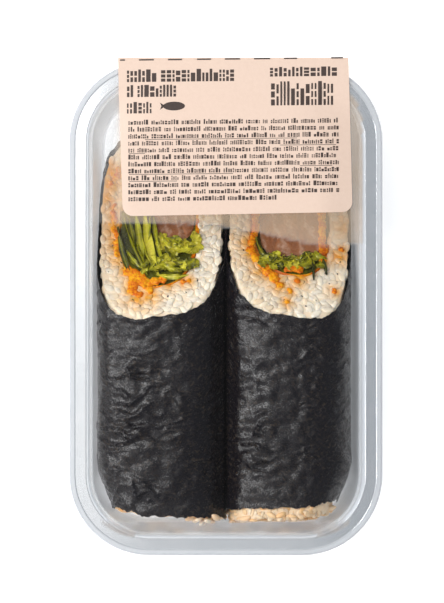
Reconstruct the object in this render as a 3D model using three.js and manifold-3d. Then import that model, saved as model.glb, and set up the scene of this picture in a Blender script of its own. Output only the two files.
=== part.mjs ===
// A sealed takeaway tray with two halves of a thick sushi roll: clear tray, clear lidding film,
// paper label folded over one end, and in each half a nori wrap, rice, sauce, lettuce and salmon.
// Millimetres, +Z up. The tray's length runs along Y, with the label at the +Y end.
import * as THREE from "three";
import { mergeVertices } from "three/addons/utils/BufferGeometryUtils.js";
import Module from "manifold-3d";

const wasm = await Module();
wasm.setup();

// Tray: outer size of the rim, and the thickness of the formed sheet.
const trayWidth = 113;
const trayLength = 178;
const trayHeight = 45;
const sheetThickness = 0.6;
const cornerSteps = 6;
// Upper skin of the tray from the rim's lower edge to the floor. Inset is measured from the rim's edge.
const trayProfile = [
  { inset: 0, radius: 29, z: trayHeight - 2.8 },
  { inset: 0.35, radius: 28.8, z: trayHeight - 1 },
  { inset: 2, radius: 28, z: trayHeight - 0.8 },
  { inset: 2.4, radius: 27.8, z: trayHeight },
  { inset: 6.2, radius: 26, z: trayHeight },
  { inset: 6.7, radius: 25.6, z: trayHeight - 0.8 },
  { inset: 7.3, radius: 25.2, z: trayHeight - 1.1 },
  { inset: 11.4, radius: 19.5, z: 5.2 },
  { inset: 12.4, radius: 18.6, z: 2.2 },
  { inset: 15.4, radius: 15.6, z: sheetThickness },
  { inset: 22, radius: 9, z: sheetThickness },
];

// Lidding film: sealed on the rim's land and pushed up a little by the rolls.
const filmThickness = 0.35;
const filmCornerRadius = 23;
const filmRise = 1.4;
const filmRiseWidth = 17;
const sealInset = 6.2;
const sealRadius = 26;
const filmInsets = [sealInset, 10.5, 16, 24, 36];
const filmLeastRadius = 3;

// Label: stuck on a little askew, folded over the +Y end and down to the foot of the end wall.
const labelThickness = 0.3;
const labelGap = 0.25;
const labelFoldY = trayLength / 2 + 0.7;
const labelBendZ = trayHeight - 3.4;
const labelFootY = 79.5;
const labelFootZ = 4.5;
const labelCorners = [
  new THREE.Vector2(-38.8, labelFoldY + labelThickness),
  new THREE.Vector2(42.9, labelFoldY + labelThickness),
  new THREE.Vector2(44.7, 35.5),
  new THREE.Vector2(-37, 34.7),
];
const labelRadius = 3.6;
const labelRadiusSteps = 4;
const labelSheetInset = -10;
const labelSheetRadius = 2;

// Roll halves: squared by the tray and the film. Outward is away from the tray's middle plane.
const rollCentreX = 23.2;
const rollCentreZ = 23.3;
const rollHalfWidth = 22.8;
const rollHalfHeight = 22.1;
const rollSquareness = 3.3;
const rollSides = 32;
const rollUnevenness = 0.0035;
// Towards the -Y end each half gives way to the tray's rounded corner, and its end bulges.
const endTaper = 6;
const endTaperStart = -55;
const endTaperLength = 20;
const endBulgeOut = 0.014;
const endBulgeUp = 0.003;
const endBulgeDown = 0.009;
// Slanted cut: where it meets the roll's top on its centre line, its slope along Y and its lean outward.
const cutTopY = -4.2;
const cutTopZ = 45.9;
const cutSlope = 0.626;
const cutLean = 0.09;
const noriThickness = 0.55;
const noriProud = 0.5;
const noriTear = 0.35;
const noriTearAtCut = 0.4;
const riceInset = 0.8;
const riceSpare = 1.5;
const noriShares = [0, 0.1, 0.22, 0.4, 0.6, 0.8, 1];

// Pocket in the rice that holds the fillings.
const pocketCentreZ = 24;
const pocketHalfWidth = 14.6;
const pocketHalfHeight = 14.6;
const pocketSquareness = 2.6;
const fillingGap = 0.3;

// Cooked rice grain, how many show on each face, and how they keep off the nori and the pocket.
const grainLength = 6.2;
const grainWidth = 2.7;
const grainThickness = 2.4;
const cutGrains = 33;
const endGrains = 13;
const grainSpacing = 4.6;
const grainTries = 60000;
const grainLeastLift = 0.1;
const grainLiftSpread = 0.3;
const grainTilt = 0.3;
const grainNoriMargin = 2.3;
const grainPocketMargin = 0.2;

// Sauce: steps along its crescent, how quickly it thins at its ends and round its heap, and its beads.
const sauceSteps = 14;
const sauceBlunt = 0.4;
const sauceHeapWidth = 0.3;
const sauceProud = 0.4;
const beadEvery = 3;
const beadBase = 0.55;
const beadGrowth = 0.42;

// Salmon: squareness of its outline, and the flakes that step up and down on the cut.
const salmonSquareness = 3.6;
const salmonSkew = 0.05;
const salmonSunk = -1.2;
const flakeCount = 4;
const flakeGap = 0.35;
const flakeLean = 0.16;
const flakeReach = 0.94;
const flakeTop = 0.86;
const flakeBottom = -0.8;
const flakeProud = -0.5;
const flakeStep = 0.35;

// Lettuce: strips of leaf on edge, standing out of a packed core.
const leafSteps = 8;
const leafRoot = 2.6;
const leafEdge = 0.28;
const leafSwell = 0.5;
const leafCrest = 0.5;
const leafCrestSwell = 1.2;
const leafFrill = 0.35;
const leafSway = 0.8;
const leafWaveLeast = 0.7;
const leafWaveStep = 0.25;
const lettuceSunk = -2.2;
const toppingRoom = 3;
const leastDetail = 0.02;

// The two halves differ in where their fillings lie and in how far nori and rice reach at the -Y end.
const halves = [
  {
    name: "left",
    side: -1,
    seed: 11,
    pocketOut: 0.8,
    riceEndY: -75.6,
    noriEndY: -76.4,
    salmon: { out: -4.6, z: 20, halfWidth: 7.4, halfHeight: 7.2 },
    sauce: { from: 0.22, to: 3.5, thickness: 1.5, peak: 1.02, peakThickness: 3.1 },
    leaf: { count: 6, outFrom: 12.2, outTo: -9, low: 21, high: 35.6, lean: 7.2 },
  },
  {
    name: "right",
    side: 1,
    seed: 29,
    pocketOut: 0,
    riceEndY: -76.8,
    noriEndY: -73.2,
    salmon: { out: 0.2, z: 22, halfWidth: 11.2, halfHeight: 9.6 },
    sauce: { from: 0.1, to: 3.3, thickness: 1.5, peak: 2.15, peakThickness: 2.9 },
    leaf: { count: 4, outFrom: 9.5, outTo: -9, low: 35.2, high: 36.4, lean: -3.5 },
  },
];

const clearPlastic = { color: 0xe6e9ec, roughness: 0.12, metalness: 0, transparent: true, opacity: 0.35 };
const finishes = {
  tray: clearPlastic,
  film: { ...clearPlastic, opacity: 0.25, roughness: 0.08 },
  label: { color: 0xf8dfcc, roughness: 0.6, metalness: 0 },
  nori: { color: 0x24221f, roughness: 0.5, metalness: 0 },
  rice: { color: 0xe9dcc6, roughness: 0.45, metalness: 0 },
  sauce: { color: 0xf08a1c, roughness: 0.3, metalness: 0 },
  lettuce: { color: 0x86a51f, roughness: 0.4, metalness: 0 },
  salmon: { color: 0xb9795c, roughness: 0.35, metalness: 0 },
};

// Seeded random draw, so that every build gives the same grains.
function seededRandom(seed) {
  let state = seed >>> 0;
  return () => {
    state = (state + 0x6d2b79f5) >>> 0;
    let t = state;
    t = Math.imul(t ^ (t >>> 15), t | 1);
    t ^= t + Math.imul(t ^ (t >>> 7), t | 61);
    return ((t ^ (t >>> 14)) >>> 0) / 4294967296;
  };
}

const clamp = THREE.MathUtils.clamp;
const lerp = THREE.MathUtils.lerp;
const smoothstep = (x) => THREE.MathUtils.smoothstep(x, 0, 1);
const signedPower = (value, power) => Math.sign(value) * Math.pow(Math.abs(value), power);

// Turns vertices and triangles into a manifold solid that faces outward.
function solidFrom(points, triangles) {
  let volume = 0;
  const normal = new THREE.Vector3();
  for (const [a, b, c] of triangles) {
    volume += points[a].dot(normal.crossVectors(points[b], points[c]));
  }
  const faces = volume < 0 ? triangles.map(([a, b, c]) => [a, c, b]) : triangles;
  const mesh = new wasm.Mesh({
    numProp: 3,
    vertProperties: Float32Array.from(points.flatMap((p) => [p.x, p.y, p.z])),
    triVerts: Uint32Array.from(faces.flat()),
  });
  return new wasm.Manifold(mesh);
}

// A three.js geometry as a manifold solid.
function solidFromGeometry(geometry) {
  const bare = geometry.clone();
  bare.deleteAttribute("normal");
  bare.deleteAttribute("uv");
  const merged = mergeVertices(bare, 1e-4);
  const place = merged.getAttribute("position");
  const pointAt = (_, i) => new THREE.Vector3().fromBufferAttribute(place, i);
  const points = Array.from({ length: place.count }, pointAt);
  const index = Array.from(merged.index.array);
  const triangles = [];
  for (let i = 0; i < index.length; i += 3) {
    const corners = index.slice(i, i + 3);
    if (new Set(corners).size === 3) triangles.push(corners);
  }
  return solidFrom(points, triangles);
}

// The solid's largest body as a three.js geometry. Sealed hollows and loose scraps fall away.
function geometryFrom(solid) {
  const bodies = solid.decompose().sort((a, b) => b.volume() - a.volume());
  const mesh = bodies[0].getMesh();
  const geometry = new THREE.BufferGeometry();
  geometry.setAttribute("position", new THREE.BufferAttribute(mesh.vertProperties, 3));
  geometry.setIndex(new THREE.BufferAttribute(mesh.triVerts, 1));
  geometry.computeVertexNormals();
  return geometry;
}

// Triangles between neighbouring rings of equal length; the last ring joins the first if it is a loop.
function sideTriangles(ringCount, ringSize, isLoop) {
  const triangles = [];
  const bands = isLoop ? ringCount : ringCount - 1;
  for (let r = 0; r < bands; r += 1) {
    const next = (r + 1) % ringCount;
    for (let i = 0; i < ringSize; i += 1) {
      const j = (i + 1) % ringSize;
      const corners = [r * ringSize + i, r * ringSize + j, next * ringSize + j, next * ringSize + i];
      triangles.push([corners[0], corners[1], corners[2]], [corners[0], corners[2], corners[3]]);
    }
  }
  return triangles;
}

// Loft through rings with a flat cap on each end. capPlan gives a ring point's place in the cap's plane.
function cappedLoft(rings, capPlan) {
  const size = rings[0].length;
  const triangles = sideTriangles(rings.length, size, false);
  const plan = rings[0].map(capPlan);
  const turnsLeft = THREE.ShapeUtils.area(plan) > 0;
  const last = (rings.length - 1) * size;
  for (const [a, b, c] of THREE.ShapeUtils.triangulateShape(plan, [])) {
    const [p, q] = turnsLeft ? [b, c] : [c, b];
    triangles.push([a, q, p], [last + a, last + p, last + q]);
  }
  return solidFrom(rings.flat(), triangles);
}

// Loft through rings that close on themselves, such as a tube with a wall.
const loopLoft = (rings) => solidFrom(rings.flat(), sideTriangles(rings.length, rings[0].length, true));

// Rounded rectangle at height z, inset from the rim's outline.
function rimRing(inset, radius, heightAt) {
  const halfX = trayWidth / 2 - inset - radius;
  const halfY = trayLength / 2 - inset - radius;
  const ring = [];
  for (const [cornerX, cornerY, start] of [[1, 1, 0], [-1, 1, 1], [-1, -1, 2], [1, -1, 3]]) {
    for (let i = 0; i <= cornerSteps; i += 1) {
      const angle = (start + i / cornerSteps) * (Math.PI / 2);
      const x = cornerX * halfX + radius * Math.cos(angle);
      const y = cornerY * halfY + radius * Math.sin(angle);
      ring.push(new THREE.Vector3(x, y, heightAt(x, y)));
    }
  }
  return ring;
}

// The same profile one sheet thickness further down or out, with mitred corners.
function offsetProfile(profile, thickness) {
  const normals = profile.slice(1).map((p, i) => {
    const along = new THREE.Vector2(p.inset - profile[i].inset, p.z - profile[i].z).normalize();
    return new THREE.Vector2(along.y, -along.x);
  });
  return profile.map((p, i) => {
    const before = normals[Math.max(i - 1, 0)];
    const after = normals[Math.min(i, normals.length - 1)];
    const mitre = before.clone().add(after).normalize();
    const reach = thickness / Math.max(mitre.dot(after), 0.5);
    const inset = p.inset + mitre.x * reach;
    return { inset, radius: p.radius + p.inset - inset, z: p.z + mitre.y * reach };
  });
}

function makeTray() {
  const under = offsetProfile(trayProfile, sheetThickness).reverse();
  const rings = [...under, ...trayProfile].map((p) => rimRing(p.inset, p.radius, () => p.z));
  return cappedLoft(rings, (p) => new THREE.Vector2(p.x, p.y));
}

// How far the film's underside stands above the rim's land.
function filmLift(x, y) {
  const cornerX = Math.abs(x) - (trayWidth / 2 - sealInset - sealRadius);
  const cornerY = Math.abs(y) - (trayLength / 2 - sealInset - sealRadius);
  const outside = Math.hypot(Math.max(cornerX, 0), Math.max(cornerY, 0));
  const inside = Math.min(Math.max(cornerX, cornerY), 0);
  return filmRise * smoothstep((sealRadius - outside - inside) / filmRiseWidth);
}

// A sheet that follows the film's rise, with its own outer edge.
function filmSkin(bottom, thickness, edgeInset, edgeRadius) {
  const radiusAt = (inset) => Math.max(filmLeastRadius, sealRadius + sealInset - inset);
  const skin = (z) => [
    rimRing(edgeInset, edgeRadius, () => z),
    ...filmInsets.map((inset) => rimRing(inset, radiusAt(inset), (x, y) => z + filmLift(x, y))),
  ];
  const rings = [...skin(bottom).reverse(), ...skin(bottom + thickness)];
  return cappedLoft(rings, (p) => new THREE.Vector2(p.x, p.y));
}

const makeFilm = () => filmSkin(trayHeight, filmThickness, 0, filmCornerRadius);

// The label's outline from above, with its front corners rounded.
function labelOutline() {
  const [backLeft, backRight, frontRight, frontLeft] = labelCorners;
  const outline = [backLeft, backRight];
  const rounded = [[frontRight, backRight, frontLeft], [frontLeft, frontRight, backLeft]];
  for (const [corner, before, after] of rounded) {
    const start = corner.clone().lerp(before, labelRadius / corner.distanceTo(before));
    const stop = corner.clone().lerp(after, labelRadius / corner.distanceTo(after));
    const bend = new THREE.QuadraticBezierCurve(start, corner, stop);
    outline.push(...bend.getPoints(labelRadiusSteps));
  }
  return outline;
}

// Solid between two copies of an outline. at gives a point's place in space at a height.
function prism(outline, from, to, at) {
  const rings = [from, to].map((height) => outline.map((p) => at(p, height)));
  return cappedLoft(rings, (_, i) => outline[i]);
}

// Label: the face on the film, and the back panel that hangs from the fold to the foot of the wall.
function makeLabel() {
  const bottom = trayHeight + filmThickness + labelGap;
  const sheet = filmSkin(bottom, labelThickness, labelSheetInset, labelSheetRadius);
  const outline = prism(labelOutline(), 0, 2 * trayHeight, (p, z) => new THREE.Vector3(p.x, p.y, z));
  const fold = labelFoldY + labelThickness;
  const profile = [
    [labelFoldY, bottom + labelThickness / 2],
    [labelFoldY, labelBendZ],
    [labelFootY, labelFootZ],
    [labelFootY + labelThickness, labelFootZ],
    [fold, labelBendZ],
    [fold, bottom + labelThickness],
  ].map(([y, z]) => new THREE.Vector2(y, z));
  const [backLeft, backRight] = labelCorners;
  const panel = prism(profile, backLeft.x, backRight.x, (p, x) => new THREE.Vector3(x, p.x, p.y));
  return sheet.intersect(outline).add(panel);
}

// Roll section point at an angle, inset from the nori's outer face. out is measured from the roll's axis.
function sectionPoint(half, angle, inset, y) {
  const taper = Math.cos(angle) > 0 ? endTaper * smoothstep((endTaperStart - y) / endTaperLength) : 0;
  const wave = Math.sin(3 * angle + 0.11 * y + half.seed) + Math.sin(5 * angle - 0.07 * y) + 2;
  const uneven = 1 - rollUnevenness * wave;
  const power = 2 / rollSquareness;
  return {
    out: (rollHalfWidth - taper - inset) * uneven * signedPower(Math.cos(angle), power),
    z: rollCentreZ + (rollHalfHeight - inset) * uneven * signedPower(Math.sin(angle), power),
  };
}

const pocketPoint = (half, angle, inset) => ({
  out: half.pocketOut + (pocketHalfWidth - inset) * signedPower(Math.cos(angle), 2 / pocketSquareness),
  z: pocketCentreZ + (pocketHalfHeight - inset) * signedPower(Math.sin(angle), 2 / pocketSquareness),
});

// Where the slanted cut and the bulging end lie along Y, for a point of the section.
const cutY = ({ out, z }) => cutTopY + (cutTopZ - z - cutLean * out) / cutSlope;
const endBulge = ({ out, z }) => {
  const upward = z > rollCentreZ ? endBulgeUp : endBulgeDown;
  return endBulgeOut * Math.max(0, out) ** 2 + upward * (z - rollCentreZ) ** 2;
};

const placed = (half, { out, z }, y) => new THREE.Vector3(half.side * (rollCentreX + out), y, z);
const ringAngles = Array.from({ length: rollSides }, (_, i) => ((i + 0.5) / rollSides) * 2 * Math.PI);

// The wrap and the room inside it are both drawn with these rings, so that their walls never cross.
function skinRings(half, inset) {
  return noriShares.map((share) =>
    ringAngles.map((angle) => {
      const tear = noriTear * (Math.sin(7 * angle + half.seed) + Math.sin(12 * angle));
      const end = half.noriEndY + endBulge(sectionPoint(half, angle, inset, half.noriEndY)) + tear;
      const cut = cutY(sectionPoint(half, angle, inset, 0)) + noriProud + noriTearAtCut * tear;
      const y = lerp(end, cut, share);
      return placed(half, sectionPoint(half, angle, inset, y), y);
    }),
  );
}

const makeNori = (half) => loopLoft([...skinRings(half, 0), ...skinRings(half, noriThickness).reverse()]);

// All the space inside the wrap, drawn out past its -Y end.
function roomInWrap(half) {
  const rings = skinRings(half, riceInset).reverse();
  const beyond = rings[rings.length - 1].map((p) => p.clone().setY(-trayLength / 2));
  return cappedLoft([...rings, beyond], (_, i) => {
    const p = sectionPoint(half, ringAngles[i], 0, 0);
    return new THREE.Vector2(p.out, p.z);
  });
}

// A flat face of the roll: a place for a section point, and the directions in and out of the face.
function cutFace(half) {
  const normal = new THREE.Vector3(half.side * cutLean, cutSlope, 1).normalize();
  const across = new THREE.Vector3(half.side, 0, -cutLean).normalize();
  const up = new THREE.Vector3().crossVectors(normal, across);
  return { normal, across, up, at: (p) => placed(half, p, cutY(p)) };
}

function endFace(half) {
  const normal = new THREE.Vector3(0, -1, 0);
  const across = new THREE.Vector3(1, 0, 0);
  const at = (p) => placed(half, p, half.riceEndY + endBulge(p));
  return { normal, across, up: new THREE.Vector3(0, 0, 1), at };
}

// Whether a place in space lies over the rice, clear of the nori and of the pocket.
function isOverRice(half, place) {
  const out = half.side * place.x - rollCentreX;
  const taper = out > 0 ? endTaper * smoothstep((endTaperStart - place.y) / endTaperLength) : 0;
  const isWithin = (centreOut, centreZ, halfWidth, halfHeight, power) => {
    const across = Math.abs((out - centreOut) / halfWidth);
    const up = Math.abs((place.z - centreZ) / halfHeight);
    return across ** power + up ** power < 1;
  };
  const skinWidth = rollHalfWidth - grainNoriMargin - taper;
  const skinHeight = rollHalfHeight - grainNoriMargin;
  const roomWidth = pocketHalfWidth + grainPocketMargin;
  const roomHeight = pocketHalfHeight + grainPocketMargin;
  const isInPocket = isWithin(half.pocketOut, pocketCentreZ, roomWidth, roomHeight, pocketSquareness);
  return isWithin(0, rollCentreZ, skinWidth, skinHeight, rollSquareness) && !isInPocket;
}

// One grain's shape, with its length along Y.
const grainGeometry = new THREE.SphereGeometry(0.5, 6, 3).scale(grainWidth, grainLength, grainThickness);

// A grain's place and three directions, drawn at random on a face.
function drawGrain(face, random) {
  const spot = {
    out: (2 * random() - 1) * rollHalfWidth,
    z: rollCentreZ + (2 * random() - 1) * rollHalfHeight,
  };
  const centre = face.at(spot).addScaledVector(face.normal, grainLeastLift + grainLiftSpread * random());
  const turn = random() * Math.PI;
  const along = face.across.clone().multiplyScalar(Math.cos(turn)).addScaledVector(face.up, Math.sin(turn));
  along.addScaledVector(face.normal, grainTilt * (random() - 0.5)).normalize();
  const broad = new THREE.Vector3().crossVectors(along, face.normal).normalize();
  return { centre, along, broad, lift: new THREE.Vector3().crossVectors(broad, along) };
}

function isGrainOverRice(half, { centre, along, broad, lift }) {
  const reaches = [[along, grainLength], [broad, grainWidth], [lift, grainThickness]];
  return reaches.every(([way, size]) =>
    [-0.5, 0.5].every((end) => isOverRice(half, centre.clone().addScaledVector(way, end * size))));
}

// Grains spread over a face, each at least grainSpacing from the others.
function faceGrains(half, face, count, random) {
  const drawn = [];
  for (let tries = 0; tries < grainTries && drawn.length < count; tries += 1) {
    const grain = drawGrain(face, random);
    const isClear = drawn.every((other) => other.centre.distanceTo(grain.centre) >= grainSpacing);
    if (isClear && isGrainOverRice(half, grain)) drawn.push(grain);
  }
  return drawn.map(({ centre, along, broad, lift }) => {
    const matrix = new THREE.Matrix4().makeBasis(broad, along, lift).setPosition(centre);
    return solidFromGeometry(grainGeometry.clone().applyMatrix4(matrix));
  });
}

// Rice: a block round the pocket, trimmed to the room inside the wrap, with its grains.
function makeRice(half) {
  const ringOf = (outline, yAt) => outline.map((p) => placed(half, p, yAt(p)));
  const riceEnd = (p) => half.riceEndY + endBulge(p);
  const outside = ringAngles.map((angle) => sectionPoint(half, angle, -riceSpare, 0));
  const pocket = pocketOutline(half, () => 0);
  const block = loopLoft([
    ringOf(outside, riceEnd),
    ringOf(outside, cutY),
    ringOf(pocket, cutY),
    ringOf(pocket, riceEnd),
  ]);
  const core = block.intersect(roomInWrap(half));
  const random = seededRandom(half.seed);
  const grains = [
    ...faceGrains(half, cutFace(half), cutGrains, random),
    ...faceGrains(half, endFace(half), endGrains, random),
  ];
  return grains.reduce((solid, grain) => solid.add(grain), core);
}

// Straight solid through the roll with a given outline, from the -Y end to the slanted cut.
function throughRoll(half, outline, endIn, cutOut) {
  const rings = [
    outline.map((p) => placed(half, p, half.riceEndY + endBulge(p) + endIn)),
    outline.map((p) => placed(half, p, cutY(p) + cutOut)),
  ];
  return cappedLoft(rings, (_, i) => new THREE.Vector2(outline[i].out, outline[i].z));
}

// The pocket's outline, inset by a rule over the angle.
const pocketOutline = (half, insetAt) => ringAngles.map((angle) => pocketPoint(half, angle, insetAt(angle)));

// Sauce thickness on the pocket's wall at an angle: a thin crescent with one thick heap.
function sauceDepth({ sauce }, angle) {
  const share = (angle - sauce.from) / (sauce.to - sauce.from);
  if (share <= 0 || share >= 1) return 0;
  const heap = Math.exp(-(((angle - sauce.peak) / sauceHeapWidth) ** 2));
  const thickness = lerp(sauce.thickness, sauce.peakThickness, heap);
  return thickness * Math.sin(Math.PI * share) ** sauceBlunt;
}

// A bead of sauce on the cut, at an angle round the pocket.
function sauceBead(half, angle) {
  const face = cutFace(half);
  const depth = sauceDepth(half, angle);
  const radius = beadBase + beadGrowth * depth;
  const spot = face.at(pocketPoint(half, angle, fillingGap + depth / 2));
  const bead = new THREE.SphereGeometry(radius, 6, 4).scale(1, 1.3, 0.9);
  return solidFromGeometry(bead.translate(spot.x, spot.y, spot.z));
}

function makeSauce(half) {
  const { from, to } = half.sauce;
  const angles = Array.from({ length: sauceSteps - 1 }, (_, i) => lerp(from, to, (i + 1) / sauceSteps));
  const outside = angles.map((angle) => pocketPoint(half, angle, fillingGap));
  const inside = angles.map((angle) => pocketPoint(half, angle, fillingGap + sauceDepth(half, angle)));
  const layer = throughRoll(half, [...outside, ...inside.reverse()], 0.2, sauceProud);
  const beads = angles.filter((_, i) => i % beadEvery === 1).map((angle) => sauceBead(half, angle));
  const allowed = throughRoll(half, pocketOutline(half, () => fillingGap), 0, toppingRoom);
  return beads.reduce((solid, bead) => solid.add(bead), layer).intersect(allowed);
}

function salmonOutline({ salmon }, grow) {
  const power = 2 / salmonSquareness;
  return ringAngles.filter((_, i) => i % 2 === 0).map((angle) => {
    const skew = 1 + salmonSkew * Math.sin(2 * angle);
    return {
      out: salmon.out + (salmon.halfWidth + grow) * signedPower(Math.cos(angle), power),
      z: salmon.z + (salmon.halfHeight + grow) * signedPower(Math.sin(angle), power) * skew,
    };
  });
}

// One flake of salmon, a leaning strip of its outline.
function salmonFlake(half, i) {
  const { out, z, halfWidth, halfHeight } = half.salmon;
  const pitch = (2 * halfWidth * flakeReach) / flakeCount;
  const left = out - halfWidth * flakeReach + pitch * i;
  const right = left + pitch - flakeGap;
  const lean = flakeLean * halfWidth;
  const outline = [
    { out: left - lean, z: z + halfHeight * flakeBottom },
    { out: right - lean, z: z + halfHeight * flakeBottom },
    { out: right + lean, z: z + halfHeight * flakeTop },
    { out: left + lean, z: z + halfHeight * flakeTop },
  ];
  return throughRoll(half, outline, 2, flakeProud - flakeStep * (i % 2));
}

// Salmon: the slab through the roll, and on the cut the steps between its flakes.
function makeSalmon(half) {
  const slab = throughRoll(half, salmonOutline(half, 0), 0.6, salmonSunk);
  const flakes = Array.from({ length: flakeCount }, (_, i) => salmonFlake(half, i));
  const allowed = throughRoll(half, salmonOutline(half, 0), 0, toppingRoom);
  return flakes.reduce((solid, flake) => solid.add(flake), slab).intersect(allowed);
}

// A wavy strip of leaf on edge, standing out of the cut between two section points.
function leafStrip(half, from, to, wave, phase) {
  const face = cutFace(half);
  const rings = Array.from({ length: leafSteps + 1 }, (_, i) => {
    const share = i / leafSteps;
    const bend = wave * Math.sin(share * 2.6 * Math.PI + phase);
    const centre = face.at({ out: lerp(from.out, to.out, share) + bend, z: lerp(from.z, to.z, share) });
    const swell = Math.sin(Math.PI * clamp(share, 0.04, 0.96));
    const halfThickness = leafEdge + leafSwell * swell;
    const crest = leafCrest + leafCrestSwell * swell + leafFrill * Math.sin(9 * share + phase);
    const sway = leafSway * Math.sin(7 * share + phase);
    const corners = [[-1, -leafRoot, 0], [1, -leafRoot, 0], [0.7, crest, sway], [-0.7, crest, sway]];
    return corners.map(([side, lift, shift]) => {
      const aside = side * halfThickness + shift;
      return centre.clone().addScaledVector(face.across, aside).addScaledVector(face.normal, lift);
    });
  });
  const plan = [[-1, -1], [1, -1], [1, 1], [-1, 1]].map(([x, y]) => new THREE.Vector2(x, y));
  return cappedLoft(rings, (_, i) => plan[i]);
}

function leafStrips(half) {
  const { count, outFrom, outTo, low, high, lean } = half.leaf;
  return Array.from({ length: count }, (_, i) => {
    const out = lerp(outFrom, outTo, i / (count - 1));
    const from = { out: out + lean * 0.4, z: low - (i % 2) };
    const to = { out: out - lean * 0.6, z: high + 0.6 * (i % 3) };
    return leafStrip(half, from, to, leafWaveLeast + leafWaveStep * (i % 3), half.seed + 1.7 * i);
  });
}

// Lettuce fills what sauce and salmon leave of the pocket.
function makeLettuce(half) {
  const outline = pocketOutline(half, (angle) => {
    const depth = sauceDepth(half, angle);
    return fillingGap + (depth > 0 ? depth + fillingGap : 0);
  });
  const salmonRoom = throughRoll(half, salmonOutline(half, fillingGap), -toppingRoom, 2 * toppingRoom);
  const core = throughRoll(half, outline, 0.5, lettuceSunk);
  const allowed = throughRoll(half, outline, 0, toppingRoom).subtract(salmonRoom);
  const leaves = leafStrips(half).reduce((solid, strip) => solid.add(strip), core).intersect(allowed);
  return leaves.simplify(leastDetail);
}

function named(name, solid, finish) {
  const mesh = new THREE.Mesh(geometryFrom(solid), new THREE.MeshStandardMaterial(finishes[finish]));
  mesh.name = name;
  return mesh;
}

const tray = new THREE.Group();
tray.add(named("tray", makeTray(), "tray"));
tray.add(named("lid_film", makeFilm(), "film"));
tray.add(named("label", makeLabel(), "label"));
for (const half of halves) {
  tray.add(named(`${half.name}_nori`, makeNori(half), "nori"));
  tray.add(named(`${half.name}_rice`, makeRice(half), "rice"));
  tray.add(named(`${half.name}_sauce`, makeSauce(half), "sauce"));
  tray.add(named(`${half.name}_lettuce`, makeLettuce(half), "lettuce"));
  tray.add(named(`${half.name}_salmon`, makeSalmon(half), "salmon"));
}
// The label's fold stands past the rim, so the tray moves back by half of that to centre the whole.
tray.position.y = -(labelFoldY + labelThickness - trayLength / 2) / 2;

export default tray;
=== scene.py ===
# %% [markdown]
# # A sealed tray of sushi
#
# The real thing is a clear formed tray with a thick sushi roll in it, cut in two on a slant. A clear
# film is sealed on the rim, and a paper label is folded over one end. The solids of all of this are
# already made. This file gives them their looks: a thin shiny tray, film with a milky patch, crinkled
# seaweed, real rice grains, leaf, fish and orange sauce.
#
# The lengths below are in millimetres, because that is how food and packs are measured. Blender works
# in metres, so every piece is scaled once, when its points are put in place.

import math

import bpy
import numpy as np
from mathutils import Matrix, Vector


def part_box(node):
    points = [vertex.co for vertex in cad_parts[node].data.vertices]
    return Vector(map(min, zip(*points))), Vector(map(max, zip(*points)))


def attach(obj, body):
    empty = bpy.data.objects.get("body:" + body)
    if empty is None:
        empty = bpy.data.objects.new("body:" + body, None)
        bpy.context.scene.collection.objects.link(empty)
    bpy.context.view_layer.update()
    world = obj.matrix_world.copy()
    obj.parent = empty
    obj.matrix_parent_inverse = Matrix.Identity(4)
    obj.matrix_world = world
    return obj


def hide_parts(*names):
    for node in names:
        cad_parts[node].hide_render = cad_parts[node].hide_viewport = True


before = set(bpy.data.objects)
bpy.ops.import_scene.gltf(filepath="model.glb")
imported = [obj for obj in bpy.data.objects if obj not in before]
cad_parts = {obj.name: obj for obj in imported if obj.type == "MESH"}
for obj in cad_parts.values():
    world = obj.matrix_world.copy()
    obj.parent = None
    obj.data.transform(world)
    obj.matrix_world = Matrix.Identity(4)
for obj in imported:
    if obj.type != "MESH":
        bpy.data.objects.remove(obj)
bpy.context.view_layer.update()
tray_low, tray_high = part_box("tray")

# %% [markdown]
# ## Driving sizes
#
# These are the sizes of the tray and of the roll. Everything else is worked out from them. The whole
# stands half a millimetre off the tray's own middle, because the label's fold sticks out at one end,
# and that shift is read from the loaded tray. In each half, salmon gives the strip's middle and half
# sizes, and sauce gives the first and last angle of its layer, its thickness, the angle where it is
# thickest, and how thick it is there.

# %% Driving sizes
MM = 0.001
tray_width = 113
tray_length = 178
tray_height = 45
sheet_thickness = 0.45
shift_y = (tray_low[1] + tray_high[1]) / 2 / MM

roll_centre_x = 23.2
roll_centre_z = 23.3
roll_half_width = 22.8
roll_half_height = 22.1
roll_squareness = 3.3
roll_unevenness = 0.0035
end_taper = 6
end_taper_start = -55
end_taper_length = 20
end_lump = 1.1

cut_top_y = -4.2
cut_top_z = 45.9
cut_slope = 0.626
cut_lean = 0.09

pocket_centre_z = 24
pocket_half_width = 14.6
pocket_half_height = 14.6
pocket_squareness = 2.6

left_half = {
    "name": "left", "side": -1, "seed": 11, "pocket_out": 0.8, "pocket_top": 14.4,
    "outer_lean": 0.07, "outer_trim": 0,
    "rice_end": -75.6, "nori_end": -76.4,
    "salmon": (-4.6, 20, 7.4, 7.2), "sauce": (0.22, 3.5, 1.5, 1.02, 3.1),
}
right_half = {
    "name": "right", "side": 1, "seed": 29, "pocket_out": 0, "pocket_top": 11.8,
    "outer_lean": 0, "outer_trim": 0.7,
    "rice_end": -76.8, "nori_end": -73.2,
    "salmon": (0.2, 22, 11.2, 9.6), "sauce": (0.1, 3.3, 1.5, 2.15, 2.9),
}
halves = [left_half, right_half]
print("shift along the tray", round(shift_y, 2), "mm")

# %% [markdown]
# ## Small tools
#
# Blender's operators act on whatever is selected, and the loaded nodes come in selected. So each
# step first clears the selection, then adds a primitive, then moves its points by a rule. The rule
# works on all points at once, as numbers in an array, which is quick even for large meshes.

# %% Small tools
def clear_selection():
    bpy.ops.object.select_all(action="DESELECT")
    bpy.context.view_layer.objects.active = None


def pick(piece):
    clear_selection()
    piece.select_set(True)
    bpy.context.view_layer.objects.active = piece


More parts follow.
